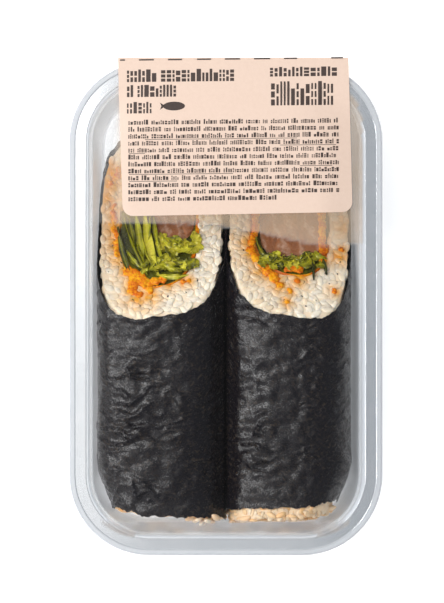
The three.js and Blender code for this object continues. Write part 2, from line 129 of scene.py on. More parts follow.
def name_new(name):
    piece = bpy.context.object
    piece.name = name
    piece.data.name = name
    return piece


def new_object(name, data):
    made = bpy.data.objects.new(name, data)
    bpy.context.scene.collection.objects.link(made)
    return made


def points_of(piece):
    flat = np.empty(len(piece.data.vertices) * 3)
    piece.data.vertices.foreach_get("co", flat)
    return flat.reshape(-1, 3)


def set_points(piece, points):
    piece.data.vertices.foreach_set("co", np.asarray(points, dtype=float).ravel())
    piece.data.update()


def settle(piece, x, y, z):
    """Puts points given in millimetres of the tray's own frame in place, in metres."""
    set_points(piece, np.stack([x, y + shift_y, z], axis=1) * MM)


def modify(piece, kind, **settings):
    pick(piece)
    modifier = piece.modifiers.new(kind.title(), kind)
    for key, value in settings.items():
        setattr(modifier, key, value)
    bpy.ops.object.modifier_apply(modifier=modifier.name)


def edit(piece):
    pick(piece)
    bpy.ops.object.mode_set(mode="EDIT")
    bpy.ops.mesh.select_all(action="SELECT")


def leave_edit():
    bpy.ops.object.mode_set(mode="OBJECT")


def face_outwards(piece, weld=0):
    """Turns the faces outwards, once points that lie closer than weld are made one."""
    edit(piece)
    if weld:
        bpy.ops.mesh.remove_doubles(threshold=weld)
    bpy.ops.mesh.normals_make_consistent(inside=False)
    leave_edit()


def smooth_edges(piece, degrees):
    pick(piece)
    bpy.ops.object.shade_smooth_by_angle(angle=math.radians(degrees))


def join(pieces, name):
    clear_selection()
    for piece in pieces:
        piece.select_set(True)
    bpy.context.view_layer.objects.active = pieces[0]
    bpy.ops.object.join()
    return name_new(name)


def grid(name, columns, rows):
    clear_selection()
    bpy.ops.mesh.primitive_grid_add(x_subdivisions=columns, y_subdivisions=rows, size=2)
    return name_new(name)


def attribute(piece, name, values):
    """Stores one or three numbers, from 0 to 1, on each point, for a material to read."""
    layer = piece.data.attributes.new(name, "FLOAT_COLOR", "POINT")
    colours = np.ones((len(values), 4))
    colours[:, :3] = np.asarray(values, dtype=float).reshape(len(values), -1)
    layer.data.foreach_set("color", colours.ravel())


def ball_model(subdivisions, radius):
    """The points and faces of a ball, for pieces that repeat it."""
    clear_selection()
    bpy.ops.mesh.primitive_ico_sphere_add(subdivisions=subdivisions, radius=radius)
    model = bpy.context.object
    points = points_of(model)
    faces = np.array([tuple(face.vertices) for face in model.data.polygons])
    bpy.data.objects.remove(model)
    return points, faces


def repeat_faces(faces, points_each, count):
    return np.concatenate([faces + points_each * i for i in range(count)]).tolist()


def from_points(name, points, faces):
    """A piece from points given in millimetres of the tray's own frame."""
    mesh = bpy.data.meshes.new(name)
    mesh.from_pydata(((np.asarray(points) + [0, shift_y, 0]) * MM).tolist(), [], faces)
    return new_object(name, mesh)


def dress(piece, material, slot, *nodes):
    piece.data.materials.clear()
    piece.data.materials.append(material)
    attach(piece, "root")
    if nodes:
        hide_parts(*nodes)
    print(piece.name, len(piece.data.polygons), "faces")


def smooth_step(x):
    x = np.clip(x, 0, 1)
    return x * x * (3 - 2 * x)


def squircle(angle, squareness):
    """A point at this angle of a squared circle, from -1 to 1 both ways."""
    sides = np.cos(angle), np.sin(angle)
    return [np.sign(side) * np.abs(side) ** (2 / squareness) for side in sides]


def direction_of(vector):
    return vector / np.linalg.norm(vector)


# %% [markdown]
# ## Noise for shapes
#
# Crinkles and lumps are made by moving points by a smooth random field. Numbers are drawn for the
# corners of a lattice from their whole-number places, and blended in between, so the same place
# always gets the same value and the scene comes out the same at each run.

# %% Noise for shapes
scatter_primes = (73856093, 19349663, 83492791, 2654435761)
mixing_prime = 1274126177
whole_bits = 0xFFFFFFFF
kept_bits = 0xFFFFFF


def lattice_value(*place):
    """A number from -1 to 1 for a corner of the lattice, given as x, y, z and a seed."""
    mixed = 0
    for value, prime in zip(place, scatter_primes):
        mixed = mixed ^ (value * prime)
    mixed = (mixed ^ (mixed >> 13)) & whole_bits
    mixed = (mixed * mixing_prime) & whole_bits
    mixed = mixed ^ (mixed >> 16)
    return (mixed & kept_bits) / (kept_bits // 2) - 1


def noise(x, y, z, size, seed=0):
    """Smooth noise from -1 to 1. size is one length, or one for each of x, y and z."""
    sizes = size if isinstance(size, tuple) else (size, size, size)
    scaled = [np.asarray(v, dtype=float) / s for v, s in zip((x, y, z), sizes)]
    scaled = np.broadcast_arrays(*scaled)
    whole = [np.floor(v).astype(np.int64) for v in scaled]
    part = [smooth_step(v - w) for v, w in zip(scaled, whole)]
    total = 0
    for corner in np.ndindex(2, 2, 2):
        weight = 1
        for step, inner in zip(corner, part):
            weight = weight * (inner if step else 1 - inner)
        total = total + weight * lattice_value(*(w + step for w, step in zip(whole, corner)), seed)
    return total


print("noise sample", round(float(noise(1.5, 2.5, 3.5, 1.0)), 3))

# %% [markdown]
# ## Wiring for materials
#
# A material is a small graph. One helper fills a node's inputs: it sets a number or a colour, and links
# whatever socket is given to it. So each material below reads as a list of what it is made of.

# %% Wiring for materials
def fill(tree, node, values):
    """Sets a node's inputs, or links them where a socket is given."""
    for key, value in values.items():
        if isinstance(value, bpy.types.NodeSocket):
            tree.links.new(value, node.inputs[key])
        else:
            node.inputs[key].default_value = value


def add(tree, kind, values=None, **settings):
    made = tree.nodes.new(kind)
    for key, value in settings.items():
        setattr(made, key, value)
    fill(tree, made, values or {})
    return made


def new_material(name):
    material = bpy.data.materials.new(name)
    material.use_nodes = True
    return material, material.node_tree, material.node_tree.nodes["Principled BSDF"]


def ramp(tree, factor, stops):
    made = add(tree, "ShaderNodeValToRGB", {"Fac": factor})
    elements = made.color_ramp.elements
    while len(elements) < len(stops):
        elements.new(0.5)
    for element, (place, colour) in zip(elements, stops):
        element.position = place
        element.color = (*colour, 1)
    return made.outputs["Color"]


def between(tree, factor, low, high, start=0.0, stop=1.0):
    """A number that goes from low to high while the factor goes from start to stop."""
    values = {"Value": factor, "From Min": start, "From Max": stop, "To Min": low, "To Max": high}
    return add(tree, "ShaderNodeMapRange", values).outputs["Result"]


def maths(tree, operation, *values):
    return add(tree, "ShaderNodeMath", dict(enumerate(values)), operation=operation).outputs[0]


def blend(tree, factor, first, second, mode="MIX"):
    first, second = [(*colour, 1) if isinstance(colour, tuple) else colour for colour in (first, second)]
    values = {0: factor, 6: first, 7: second}
    return add(tree, "ShaderNodeMix", values, data_type="RGBA", blend_type=mode).outputs[2]


def fractal(tree, place, size, detail, **more):
    values = {"Vector": place, "Scale": size, "Detail": detail, **more}
    return add(tree, "ShaderNodeTexNoise", values).outputs["Fac"]


def bump(tree, height, strength, distance):
    values = {"Height": height, "Strength": strength, "Distance": distance}
    return add(tree, "ShaderNodeBump", values).outputs["Normal"]


def object_place(tree):
    return add(tree, "ShaderNodeTexCoord").outputs["Object"]


def masks_on(tree, name):
    """The three numbers that a piece carries on its points under this name."""
    colour = add(tree, "ShaderNodeAttribute", attribute_name=name).outputs["Color"]
    masks = add(tree, "ShaderNodeSeparateColor", {"Color": colour}).outputs
    return masks["Red"], masks["Green"], masks["Blue"]


print("wiring helpers ready")

# %% [markdown]
# ## Two shared effects
#
# Food is never one flat colour, and a wet surface is never evenly shiny. Mottle gives patches of
# two sizes as one mask. Moist skin gives an uneven roughness and a fine bumpy normal. Both are node
# groups, made once and used by several materials with their own values.

# %% Two shared effects
def new_group(name, numbers, outputs):
    """A group that takes a place and some numbers, each with its usual value."""
    group = bpy.data.node_groups.new(name, "ShaderNodeTree")
    group.interface.new_socket("Place", in_out="INPUT", socket_type="NodeSocketVector")
    for label, value in numbers.items():
        socket = group.interface.new_socket(label, in_out="INPUT", socket_type="NodeSocketFloat")
        socket.default_value = value
    for label, kind in outputs.items():
        group.interface.new_socket(label, in_out="OUTPUT", socket_type=kind)
    start = group.nodes.new("NodeGroupInput")
    stop = group.nodes.new("NodeGroupOutput")
    return group, start.outputs, stop


mottle_group, given, result = new_group(
    "mottle", {"Coarse": 200.0, "Fine": 900.0}, {"Mask": "NodeSocketFloat"},
)
coarse = fractal(mottle_group, given["Place"], given["Coarse"], 3.0)
fine = fractal(mottle_group, given["Place"], given["Fine"], 2.0)
both = maths(mottle_group, "ADD", coarse, fine)
fill(mottle_group, result, {"Mask": between(mottle_group, both, 0.0, 1.0, 0.7, 1.3)})

moist_group, given, result = new_group(
    "moist_skin",
    {"Size": 600.0, "Dull": 0.5, "Shiny": 0.2, "Relief": 0.3},
    {"Roughness": "NodeSocketFloat", "Normal": "NodeSocketVector"},
)
grain = fractal(moist_group, given["Place"], given["Size"], 3.0)
fill(moist_group, result, {
    "Roughness": between(moist_group, grain, given["Shiny"], given["Dull"], 0.35, 0.65),
    "Normal": bump(moist_group, grain, given["Relief"], 0.0004),
})


def mottle(tree, coarse_scale, fine_scale):
    values = {"Place": object_place(tree), "Coarse": coarse_scale, "Fine": fine_scale}
    return add(tree, "ShaderNodeGroup", values, node_tree=mottle_group).outputs["Mask"]


def wet(tree, shader, size, dull, shiny, relief):
    values = {"Place": object_place(tree), "Size": size, "Dull": dull, "Shiny": shiny, "Relief": relief}
    skin = add(tree, "ShaderNodeGroup", values, node_tree=moist_group).outputs
    fill(tree, shader, {"Roughness": skin["Roughness"], "Normal": skin["Normal"]})


print("shared effects", mottle_group.name, moist_group.name)

# %% [markdown]
# ## Clear plastics
#
# The tray and the film are thin clear sheets. Real refraction would hide the food from the lamps, so
# both are drawn as a mostly see-through surface that turns whiter where it is seen edge-on, as thin
# plastic does. The rim is pressed and sealed, so it looks cloudy and shiny. The tray reads from its
# points where the lip, the flange and the ledge are, and it lets most of the lamps' light through. The
# film reads two masks: how milky it is, and where it is the grey of the near end.

# %% Clear plastics
def edge_on(tree, least, most):
    """How solid a clear sheet looks, from face-on to edge-on."""
    facing = add(tree, "ShaderNodeLayerWeight", {"Blend": 0.35}).outputs["Facing"]
    return between(tree, facing, least, most)


tray_plastic, tree, shader = new_material("tray_plastic")
lip, flange, ledge = masks_on(tree, "rim")
flange_colour = blend(tree, mottle(tree, 60.0, 300.0), (0.74, 0.76, 0.78), (0.79, 0.80, 0.82))
# The dark grey of the walls and of the lip is painted shade on the clear sheet.
flange_and_shaded_wall_colour = blend(tree, flange, (0.50, 0.53, 0.57), flange_colour)
rim_look = maths(tree, "MULTIPLY_ADD", flange, 0.78, between(tree, lip, 0.0, 0.58))
rim_look = maths(tree, "MULTIPLY_ADD", ledge, 0.45, rim_look)
solid = maths(tree, "MAXIMUM", edge_on(tree, 0.22, 0.75), rim_look)
for_lamps = between(tree, add(tree, "ShaderNodeLightPath").outputs["Is Shadow Ray"], 1.0, 0.3)
fill(tree, shader, {
    # the lip's grey is painted shade
    "Base Color": blend(tree, lip, flange_and_shaded_wall_colour, (0.56, 0.58, 0.61)),
    "Alpha": maths(tree, "MULTIPLY", solid, for_lamps),
    "Roughness": between(tree, flange, 0.28, 0.12),
    "Metallic": between(tree, flange, 0.12, 0.75),
    "Specular IOR Level": 0.3,
})

film_plastic, tree, shader = new_material("film_plastic")
haze, at_end, _ = masks_on(tree, "haze")
veil_colour = blend(tree, mottle(tree, 90.0, 400.0), (0.67, 0.46, 0.26), (0.74, 0.53, 0.33))
end_colour = blend(tree, mottle(tree, 130.0, 260.0), (0.30, 0.305, 0.32), (0.52, 0.44, 0.37))
hazy_colour = blend(tree, at_end, veil_colour, end_colour)
fill(tree, shader, {
    "Base Color": blend(tree, haze, (0.70, 0.72, 0.74), hazy_colour),
    "Alpha": maths(tree, "MAXIMUM", edge_on(tree, 0.003, 0.3), maths(tree, "MULTIPLY", haze, 0.33)),
    "Roughness": between(tree, haze, 0.06, 0.3),
    "IOR": 1.5,
})
print("clear plastics made")

# %% [markdown]
# ## Label paper and print
#
# The label is peach coated paper with a faint fibre. The print is one dark brown ink.

# %% Label paper and print
label_paper, tree, shader = new_material("label_paper")
fibre = mottle(tree, 700.0, 2600.0)
fill(tree, shader, {
    "Base Color": blend(tree, fibre, (0.775, 0.58, 0.465), (0.81, 0.615, 0.50)),
    "Roughness": between(tree, fibre, 0.45, 0.6),
    "Normal": bump(tree, fibre, 0.08, 0.0001),
})

label_ink, tree, shader = new_material("label_ink")
ink_colour = blend(tree, mottle(tree, 900.0, 3000.0), (0.035, 0.018, 0.013), (0.055, 0.03, 0.022))
fill(tree, shader, {"Base Color": ink_colour, "Roughness": 0.5})
print("label paper and ink made")

# %% [markdown]
# ## Seaweed
#
# Nori is a pressed sheet of seaweed: nearly black, with fine olive and brown fibres that run across
# the sheet, and a soft sheen that breaks up on its crinkles. The fibres follow the sheet, so the
# pattern reads the piece's own UV map, stretched along one way.

# %% Seaweed
sheet_round = 164.0
sheet_along = 95.0

seaweed, tree, shader = new_material("seaweed")
sheet_place = add(tree, "ShaderNodeTexCoord").outputs["UV"]
stretch = add(tree, "ShaderNodeMapping", {"Vector": sheet_place, "Scale": (sheet_round, sheet_along, 1.0)})
fibres = fractal(tree, stretch.outputs["Vector"], 0.75, 5.0, Roughness=0.75, Distortion=0.6)
flecks = [(0.35, (0.003, 0.002, 0.004)), (0.52, (0.008, 0.006, 0.007)), (0.64, (0.055, 0.038, 0.024))]
fill(tree, shader, {
    "Base Color": blend(tree, mottle(tree, 110.0, 600.0), (0.006, 0.0045, 0.007), ramp(tree, fibres, flecks)),
    "Roughness": between(tree, fibres, 0.17, 0.36, 0.35, 0.65),
    "Normal": bump(tree, fibres, 0.5, 0.00018),
    "Specular IOR Level": 0.34,
})
print("seaweed made")

# %% [markdown]
# ## Rice, sauce, leaf and fish
#
# Rice is white with a cream warmth and lets some light in. Each grain carries a tint, strong near
# the sauce. Sauce is glossy orange with yellow parts. Leaf goes from dark green to yellow-green by a
# mask on each leaf. Cooked salmon is a brownish pink with pale lines between its flakes.

# %% Rice, sauce, leaf and fish
rice_skin, tree, shader = new_material("rice_skin")
stain, warmth, _ = masks_on(tree, "tint")
plain = blend(tree, warmth, (0.96, 0.78, 0.57), (1.0, 0.93, 0.80))
plain = blend(tree, mottle(tree, 500.0, 1800.0), plain, (0.97, 0.84, 0.65))
wet(tree, shader, 900.0, 0.5, 0.28, 0.25)
fill(tree, shader, {
    "Base Color": blend(tree, stain, plain, (0.83, 0.34, 0.01)),
    "Subsurface Weight": 0.35,
    "Subsurface Radius": (0.0010, 0.0008, 0.0006),
    "Subsurface Scale": 1.0,
})

sauce_skin, tree, shader = new_material("sauce_skin")
orange = [(0.15, (0.60, 0.11, 0.001)), (0.5, (0.78, 0.23, 0.001)), (0.85, (0.86, 0.42, 0.006))]
wet(tree, shader, 1500.0, 0.5, 0.28, 0.4)
fill(tree, shader, {
    "Base Color": ramp(tree, mottle(tree, 260.0, 1300.0), orange),
    "Specular IOR Level": 0.2,
})

leaf_skin, tree, shader = new_material("leaf_skin")
# The shade mask holds each leaf's tone, with painted shade along its ruffles.
shade = add(tree, "ShaderNodeAttribute", attribute_name="shade").outputs["Fac"]
greens = [
    (0.0, (0.012, 0.016, 0.003)), (0.3, (0.11, 0.12, 0.006)), (0.65, (0.42, 0.42, 0.015)),
    (1.0, (0.75, 0.70, 0.06)),
]
aged = blend(tree, mottle(tree, 350.0, 1200.0), (1.0, 1.0, 1.0), (0.80, 0.72, 0.6))
wet(tree, shader, 700.0, 0.45, 0.2, 0.5)
fill(tree, shader, {"Base Color": blend(tree, 1.0, ramp(tree, shade, greens), aged, "MULTIPLY")})

fish_flesh, tree, shader = new_material("fish_flesh")
bands = add(
    tree, "ShaderNodeTexWave",
    {"Vector": object_place(tree), "Scale": 110.0, "Distortion": 5.0, "Detail": 2.0, "Detail Scale": 1.5},
    bands_direction="DIAGONAL",
)
pinks = [(0.0, (0.31, 0.11, 0.045)), (0.75, (0.43, 0.18, 0.075)), (0.96, (0.62, 0.40, 0.29))]
flesh = ramp(tree, bands.outputs["Fac"], pinks)
wet(tree, shader, 800.0, 0.45, 0.22, 0.5)
fill(tree, shader, {"Base Color": blend(tree, mottle(tree, 300.0, 1100.0), flesh, (0.38, 0.16, 0.075))})
print("food materials made")

# %% [markdown]
# ## Floor, camera and light
#
# The photo looks straight down on the tray on a white ground. A long lens far above gives the same
# flat view. Its scale comes from the rim, which is 178 mm long in both. The floor glows a little, so
# that it stays white. The light is soft, with a broad lamp above and one low on the left that draws
# the crinkles of the seaweed. The room is darker towards the right, which gives the clear walls on
# that side their grey.

# %% Floor, camera and light
photo_scale = 0.36
photo_centre = (225.75, 308.5)
photo_size = (444, 603)
floor_side = 6
floor_glow = 0.72


def from_photo(px, py):
    """A place in the photo as millimetres across and along the tray, at rim height."""
    return (px - photo_centre[0]) * photo_scale, (photo_centre[1] - py) * photo_scale


clear_selection()
bpy.ops.mesh.primitive_plane_add(size=floor_side)
floor = name_new("floor")
floor_finish, tree, shader = new_material("floor_finish")
paper = blend(tree, mottle(tree, 8.0, 40.0), (0.88, 0.88, 0.88), (0.90, 0.90, 0.90))
fill(tree, shader, {
    "Base Color": paper, "Emission Color": paper, "Emission Strength": floor_glow, "Roughness": 0.8,
})
floor.data.materials.append(floor_finish)

camera_distance = 2400
sensor = 36
view_end = 10
view_x, view_y = from_photo(photo_size[0] / 2, photo_size[1] / 2)
camera_data = bpy.data.cameras.new("camera")
camera_data.sensor_fit = "VERTICAL"
camera_data.sensor_height = sensor
camera_data.lens = sensor * camera_distance / (photo_size[1] * photo_scale)
camera_data.clip_end = view_end
camera = new_object("camera", camera_data)
camera.location = (view_x * MM, (view_y + shift_y) * MM, (tray_height + camera_distance) * MM)
bpy.context.scene.camera = camera


def lamp(name, place, target, size, power):
    data = bpy.data.lights.new(name, "AREA")
    data.shape = "RECTANGLE"
    data.size, data.size_y = size
    data.energy = power
    made = new_object(name, data)
    made.location = place
    made.rotation_euler = (Vector(target) - Vector(place)).to_track_quat("-Z", "Y").to_euler()


lamp("soft_top", (-0.42, 0.20, 0.95), (0, 0, 0), (0.2, 0.4), 4.2)
lamp("left_low", (-0.75, -0.05, 0.45), (0, -0.02, 0.03), (0.12, 0.5), 3)
world = bpy.data.worlds.new("studio")
bpy.context.scene.world = world
world.use_nodes = True
tree = world.node_tree
direction = add(tree, "ShaderNodeTexCoord").outputs["Generated"]
darkward = add(tree, "ShaderNodeVectorMath", {0: direction, 1: (1.0, -0.2, 0.0)}, operation="DOT_PRODUCT")
dusk = {"Value": darkward.outputs["Value"], "From Min": -0.21, "From Max": 0.18}
fall = add(tree, "ShaderNodeMapRange", dusk, interpolation_type="SMOOTHSTEP")
room = blend(tree, fall.outputs["Result"], (1.0, 1.0, 1.0), (0.26, 0.29, 0.32))
fill(tree, tree.nodes["Background"], {"Color": room})
bpy.context.scene.view_settings.view_transform = "Standard"
print("camera at", [round(v, 4) for v in camera.location], "lens", round(camera_data.lens, 1))

# %% [markdown]
# ## The tray
#
# Such a tray is one plastic sheet drawn into a mould. It starts as a flat plate with rounded
# corners. The inset tool then walks inwards and down, one step at a time, each given as how far in
# and how far up: over the lip, along the flat rim, down the ledge and the wall, and across the floor.
# Insetting keeps the corners round by itself. A bevel softens the folds, Solidify gives the sheet its
# thickness, and the points then learn which part of the rim they lie on.

# %% The tray
rim_radius = 29
corner_segments = 14
lip_height = 2.8
lip_width = 2.12
rim_width = 6.27
ledge_width = 8.3
fold_softness = 0.06
smallest_fold = math.radians(12)
lip_steps = [(0.35, lip_height), (1.5, -0.25), (0.2, 0.1), (0.15, -0.2)]
flange_steps = [(0.35, 0.03), (3.4, 0.25), (0.35, 0.03)]
ledge_steps = [(0.12, -0.55), (0.88, 0), (0.7, -3.61), (0.5, -0.4)]
wall_steps = [(0.3, -3.6), (2.6, -31.4), (1.0, -3), (3.0, -1.95), (6.6, 0)]


def rounded_inside(x, y, radius, margin=0):
    """How far a point lies inside the tray's outline less a margin, with corners of this radius."""
    corner_x = np.abs(x) - (tray_width / 2 - margin - radius)
    corner_y = np.abs(y) - (tray_length / 2 - margin - radius)
    outside = np.hypot(np.maximum(corner_x, 0), np.maximum(corner_y, 0))
    return radius - outside - np.minimum(np.maximum(corner_x, corner_y), 0)


clear_selection()
bpy.ops.mesh.primitive_plane_add(size=2)
tray_shell = name_new("tray_shell")
corner_x, corner_y, corner_z = points_of(tray_shell).T
lip_bottom = tray_height - lip_height
settle(tray_shell, corner_x * tray_width / 2, corner_y * tray_length / 2, corner_z + lip_bottom)
edit(tray_shell)
bpy.ops.mesh.bevel(offset=rim_radius * MM, segments=corner_segments, affect="VERTICES")
bpy.ops.mesh.select_mode(type="FACE")
bpy.ops.mesh.select_all(action="SELECT")
for inward, upward in lip_steps + flange_steps + ledge_steps + wall_steps:
    bpy.ops.mesh.inset(thickness=inward * MM, depth=upward * MM)
leave_edit()
modify(
    tray_shell, "BEVEL",
    width=fold_softness * MM, segments=2, limit_method="ANGLE", angle_limit=smallest_fold,
)
modify(tray_shell, "SOLIDIFY", thickness=sheet_thickness * MM, offset=-1)
smooth_edges(tray_shell, 50)
x, y, z = points_of(tray_shell).T / MM
inside_rim = rounded_inside(x, y - shift_y, rim_radius)
is_lip = inside_rim < lip_width
is_flange = (inside_rim >= lip_width) & (inside_rim < rim_width)
is_ledge = (inside_rim >= rim_width) & (inside_rim < ledge_width) & (z > lip_bottom)
attribute(tray_shell, "rim", np.stack([is_lip, is_flange, is_ledge], axis=1))
dress(tray_shell, tray_plastic, "clear_tray", "tray")

# %% [markdown]
# ## Shapes of the roll
#
# Both halves have a squared section, because the tray and the film press them. A squircle rule gives
# its outline at any angle, and two slow waves that twist along the roll keep it from being perfect.
# The slanted cut is a plane, and the near end bulges a little. These few rules place the seaweed, the
# rice and each filling. In all of them, out is how far a point lies from the roll's axis towards the
# tray's wall.

# %% Shapes of the roll
wave_counts = (3, 5)
wave_twists = (0.11, -0.07)
end_curve_side = 0.014
end_curve_top = 0.003
end_curve_low = 0.009
end_lump_size = (2.6, 5.0, 1)
outline_steps = 4000


def outer_side(half, y, z):
    """How far the outer side of the roll is drawn in: at the near end, and to follow the tray's wall."""
    taper = end_taper * smooth_step((end_taper_start - y) / end_taper_length)
    return taper + half["outer_trim"] - half["outer_lean"] * np.maximum(0, z - roll_centre_z)


def section(half, angle, inset, y):
    """A point of the roll's section: how far out from its axis it lies, and its height."""
    wave = np.sin(wave_counts[0] * angle + wave_twists[0] * y + half["seed"])
    wave = wave + np.sin(wave_counts[1] * angle + wave_twists[1] * y) + 2
    uneven = 1 - roll_unevenness * wave
    wide, high = squircle(angle, roll_squareness)
    z = roll_centre_z + (roll_half_height - inset) * uneven * high
    drawn_in = np.where(wide > 0, outer_side(half, y, z), 0)
    return (roll_half_width - drawn_in - inset) * uneven * wide, z


def in_pocket(half, wide, high, inset):
    """A point of the pocket of fillings, from its share of the way out and up."""
    tall = np.where(high > 0, half["pocket_top"], pocket_half_height)
    out = half["pocket_out"] + (pocket_half_width - inset) * wide
    return out, pocket_centre_z + (tall - inset) * high


def pocket(half, angle, inset):
    return in_pocket(half, *squircle(angle, pocket_squareness), inset)


def cut_y(out, z):
    return cut_top_y + (cut_top_z - z - cut_lean * out) / cut_slope


def end_bulge(out, z):
    upward = np.where(z > roll_centre_z, end_curve_top, end_curve_low)
    return end_curve_side * np.maximum(0, out) ** 2 + upward * (z - roll_centre_z) ** 2


def end_lumps(half, out, z):
    """The rice at the near end isn't cut, so it stands out in lumps."""
    return end_lump * noise(out, z, 0, end_lump_size, half["seed"] + 40)


def end_y(half, out, z):
    return half["rice_end"] + end_bulge(out, z)


def across(half, out):
    return half["side"] * (roll_centre_x + out)


def even_angles(count):
    """Angles that stand at even steps along the section's outline."""
    fine_angles = np.linspace(0, 2 * math.pi, outline_steps)
    out, z = section(left_half, fine_angles, 0, 0)
    length = np.concatenate([[0], np.cumsum(np.hypot(np.diff(out), np.diff(z)))])
    steps = np.linspace(0, length[-1], count)
    return np.interp(steps, length, fine_angles)


print("top of the cut at", round(float(cut_y(0, cut_top_z)), 2), "mm along the tray")

# %% [markdown]
# ## Seaweed wraps
#
# A wrap is a flat sheet that goes once round the rice, so it starts as a flat grid, and a rule rolls
# it up. That also gives it the sheet's own UV map for the fibres. It is moist, so it has shrunk on to
# the grains: broad dents, small lumps and sharp cross creases are added by noise, most of them on the
# shoulder beside the other half, and its two ends are torn a little. Where the two halves press on
# each other, their wraps meet.

# %% Seaweed wraps
nori_thickness = 0.3
wrap_columns = 230
wrap_rows = 210
round_steps = 2001
wall_press = 0.3
deepest_dent = 0.4
shoulder_place = 11.5
shoulder_width = 6.5
dent_height = 0.22
lump_height = 0.2
grain_height = 0.06
fold_height = 0.4
shoulder_fold_height = 0.85
dent_size = 15
patch_size = 11
lump_size = (3.8, 2.8, 1)
grain_mark_size = 1.3
fold_size = (6.5, 2.3, 1)
warp_size = 5
warp_reach = 2.2
seam_fade = 12
wall_side, wall_fade = 0.5, 3
meeting_side, meeting_fade = 0.85, 8
tear_ring = 26
tear_sizes = (5, 1.8, 0.9)
end_tear = 0.9
cut_tear = 0.6
cut_overhang = 0.3
same_point = 0.00001


def creases(half, around, x_off, y):
    """How far the wrap stands out from the smooth roll, in millimetres."""
    def field(size, number, shift=0):
        return noise(around, y + shift, 0, size, half["seed"] + number)

    shoulder = np.exp(-(((x_off + shoulder_place) / shoulder_width) ** 2))
    cross = 1 - np.abs(field(fold_size, 3, warp_reach * field(warp_size, 2)))
    patchy = smooth_step(0.5 + 1.2 * field(patch_size, 6))
    folds = (fold_height + shoulder_fold_height * shoulder) * patchy * (cross ** 4 - 0.2)
    lumps = lump_height * (1 + shoulder) * field(lump_size, 1)
    return dent_height * field(dent_size, 0) + lumps + grain_height * field(grain_mark_size, 4) + folds


def make_wrap(half):
    wrap = grid(f"{half['name']}_wrap", wrap_columns, wrap_rows)
    round_share, share, _ = (points_of(wrap).T + 1) / 2
    angle = np.interp(round_share, np.linspace(0, 1, round_steps), even_angles(round_steps))
    ring = np.cos(angle) * tear_ring, np.sin(angle) * tear_ring
    tear = sum(0.5 * noise(*ring, 0, size, half["seed"] + 5) for size in tear_sizes)
    out, z = section(half, angle, 0, half["nori_end"])
    end = half["nori_end"] + end_bulge(out, z) + end_tear * tear
    out, z = section(half, angle, 0, 0)
    y = end + (cut_y(out, z) + cut_overhang + cut_tear * tear - end) * share
    seam = smooth_step(np.minimum(round_share, 1 - round_share) * seam_fade)
    raised = creases(half, round_share * sheet_round, half["side"] * out, y)
    raised = np.maximum(raised, -deepest_dent) * seam
    raised += wall_press * smooth_step((np.cos(angle) - wall_side) * wall_fade)
    out, z = section(half, angle, -raised, y)
    pressed = smooth_step((-np.cos(angle) - meeting_side) * meeting_fade)
    settle(wrap, across(half, out) * (1 - pressed), y, z)
    face_outwards(wrap, same_point)
    modify(wrap, "SOLIDIFY", thickness=nori_thickness * MM, offset=-1)
    smooth_edges(wrap, 60)
    dress(wrap, seaweed, "nori", f"{half['name']}_nori")


for half in halves:
    make_wrap(half)

# %% [markdown]
# ## Sauce places
#
# The sauce has soaked into the rice beside it, so its places are needed before the grains are
# coloured. Each dab and each stain is given by where it lies in the photo and how big it is. The cut
# face is a known plane, so a place seen from above also has a height.

# %% Sauce places
left_dabs = [
    (117, 168, 3), (116, 174, 3.5), (109, 182, 2.5), (113, 205, 2.5), (112, 212, 3), (113, 219, 3.5),
    (113, 229, 3.5), (116, 234, 3), (116, 241, 3), (117, 248, 3), (117, 254, 3.5),
    (127, 271, 5), (134, 274, 6), (140, 279, 6.5), (133, 284, 6), (146, 284, 5), (131, 291, 4), (155, 281, 4),
    (163, 279, 3.5), (139, 295, 4), (150, 290, 3), (183, 282, 2.2), (189, 281, 1.8),
]
left_stains = [
    (106, 168, 9), (109, 183, 10), (107, 197, 10), (111, 210, 8), (114, 226, 8), (115, 242, 7), (118, 256, 7),
    (128, 268, 8), (136, 296, 8), (150, 296, 6), (168, 284, 5),
]
right_dabs = [
    (254, 235, 3.5), (252, 242, 3.5), (251, 250, 4.5), (256, 258, 4.5), (262, 264, 4.5), (268, 271, 5),
    (275, 278, 5), (280, 286, 3.5), (298, 262, 5), (294, 268, 4), (300, 269, 4), (288, 270, 3),
    (324, 250, 4.5), (323, 260, 3.5), (342, 249, 2.5), (335, 291, 3), (298, 282, 3), (290, 291, 2.5),
    (287, 302, 2),
]
right_dabs += [(256, py, 3.3) for py in range(206, 234, 4)]
right_dabs += [(323, py, 3.5) for py in range(206, 248, 4)]
right_stains = [(250, 245, 9), (262, 270, 7), (300, 274, 8), (340, 256, 7), (345, 225, 8)]


def on_cut(half, x, y):
    """The height of the slanted cut under a place seen from above."""
    out = half["side"] * np.asarray(x) - roll_centre_x
    return cut_top_z - cut_slope * (np.asarray(y) - cut_top_y) - cut_lean * out


def sauce_nearness(x, y, dabs, reach):
    near = np.zeros(len(x))
    for px, py, size in dabs:
        dab_x, dab_y = from_photo(px, py)
        distance = np.hypot(x - dab_x, y - dab_y)
        near = np.maximum(near, np.exp(-(distance / (size * photo_scale + reach)) ** 2))
    return near


left_half["dabs"], left_half["stains"] = left_dabs, left_dabs + left_stains
right_half["dabs"], right_half["stains"] = right_dabs, right_dabs + right_stains
print("dabs of sauce", len(left_dabs) + len(right_dabs))

# %% [markdown]
# ## Rice under the grains
#
# Most of the rice is never seen, so a lumpy core stands for it: a tube with thick walls, between the
# wrap and the pocket of fillings. In kind that is a ring, so it starts as a torus, and a rule squares
# off the torus's own round section into two walls and two faces. The faces lie a little back, and
# grains are pressed into them.

# %% Rice under the grains
core_sides = 180
core_rows = 96
core_tube = 0.25
core_inset = 1.0
core_cut_sunk = 0.168
core_end_sunk = 0.9
core_lump = 0.3
core_lump_sizes = (2.2, 1.1)
core_near_stand = 3
plain_stain = 0.15
end_stain = 0.2
soaked_stain = 0.8
soak_reach = 1.6


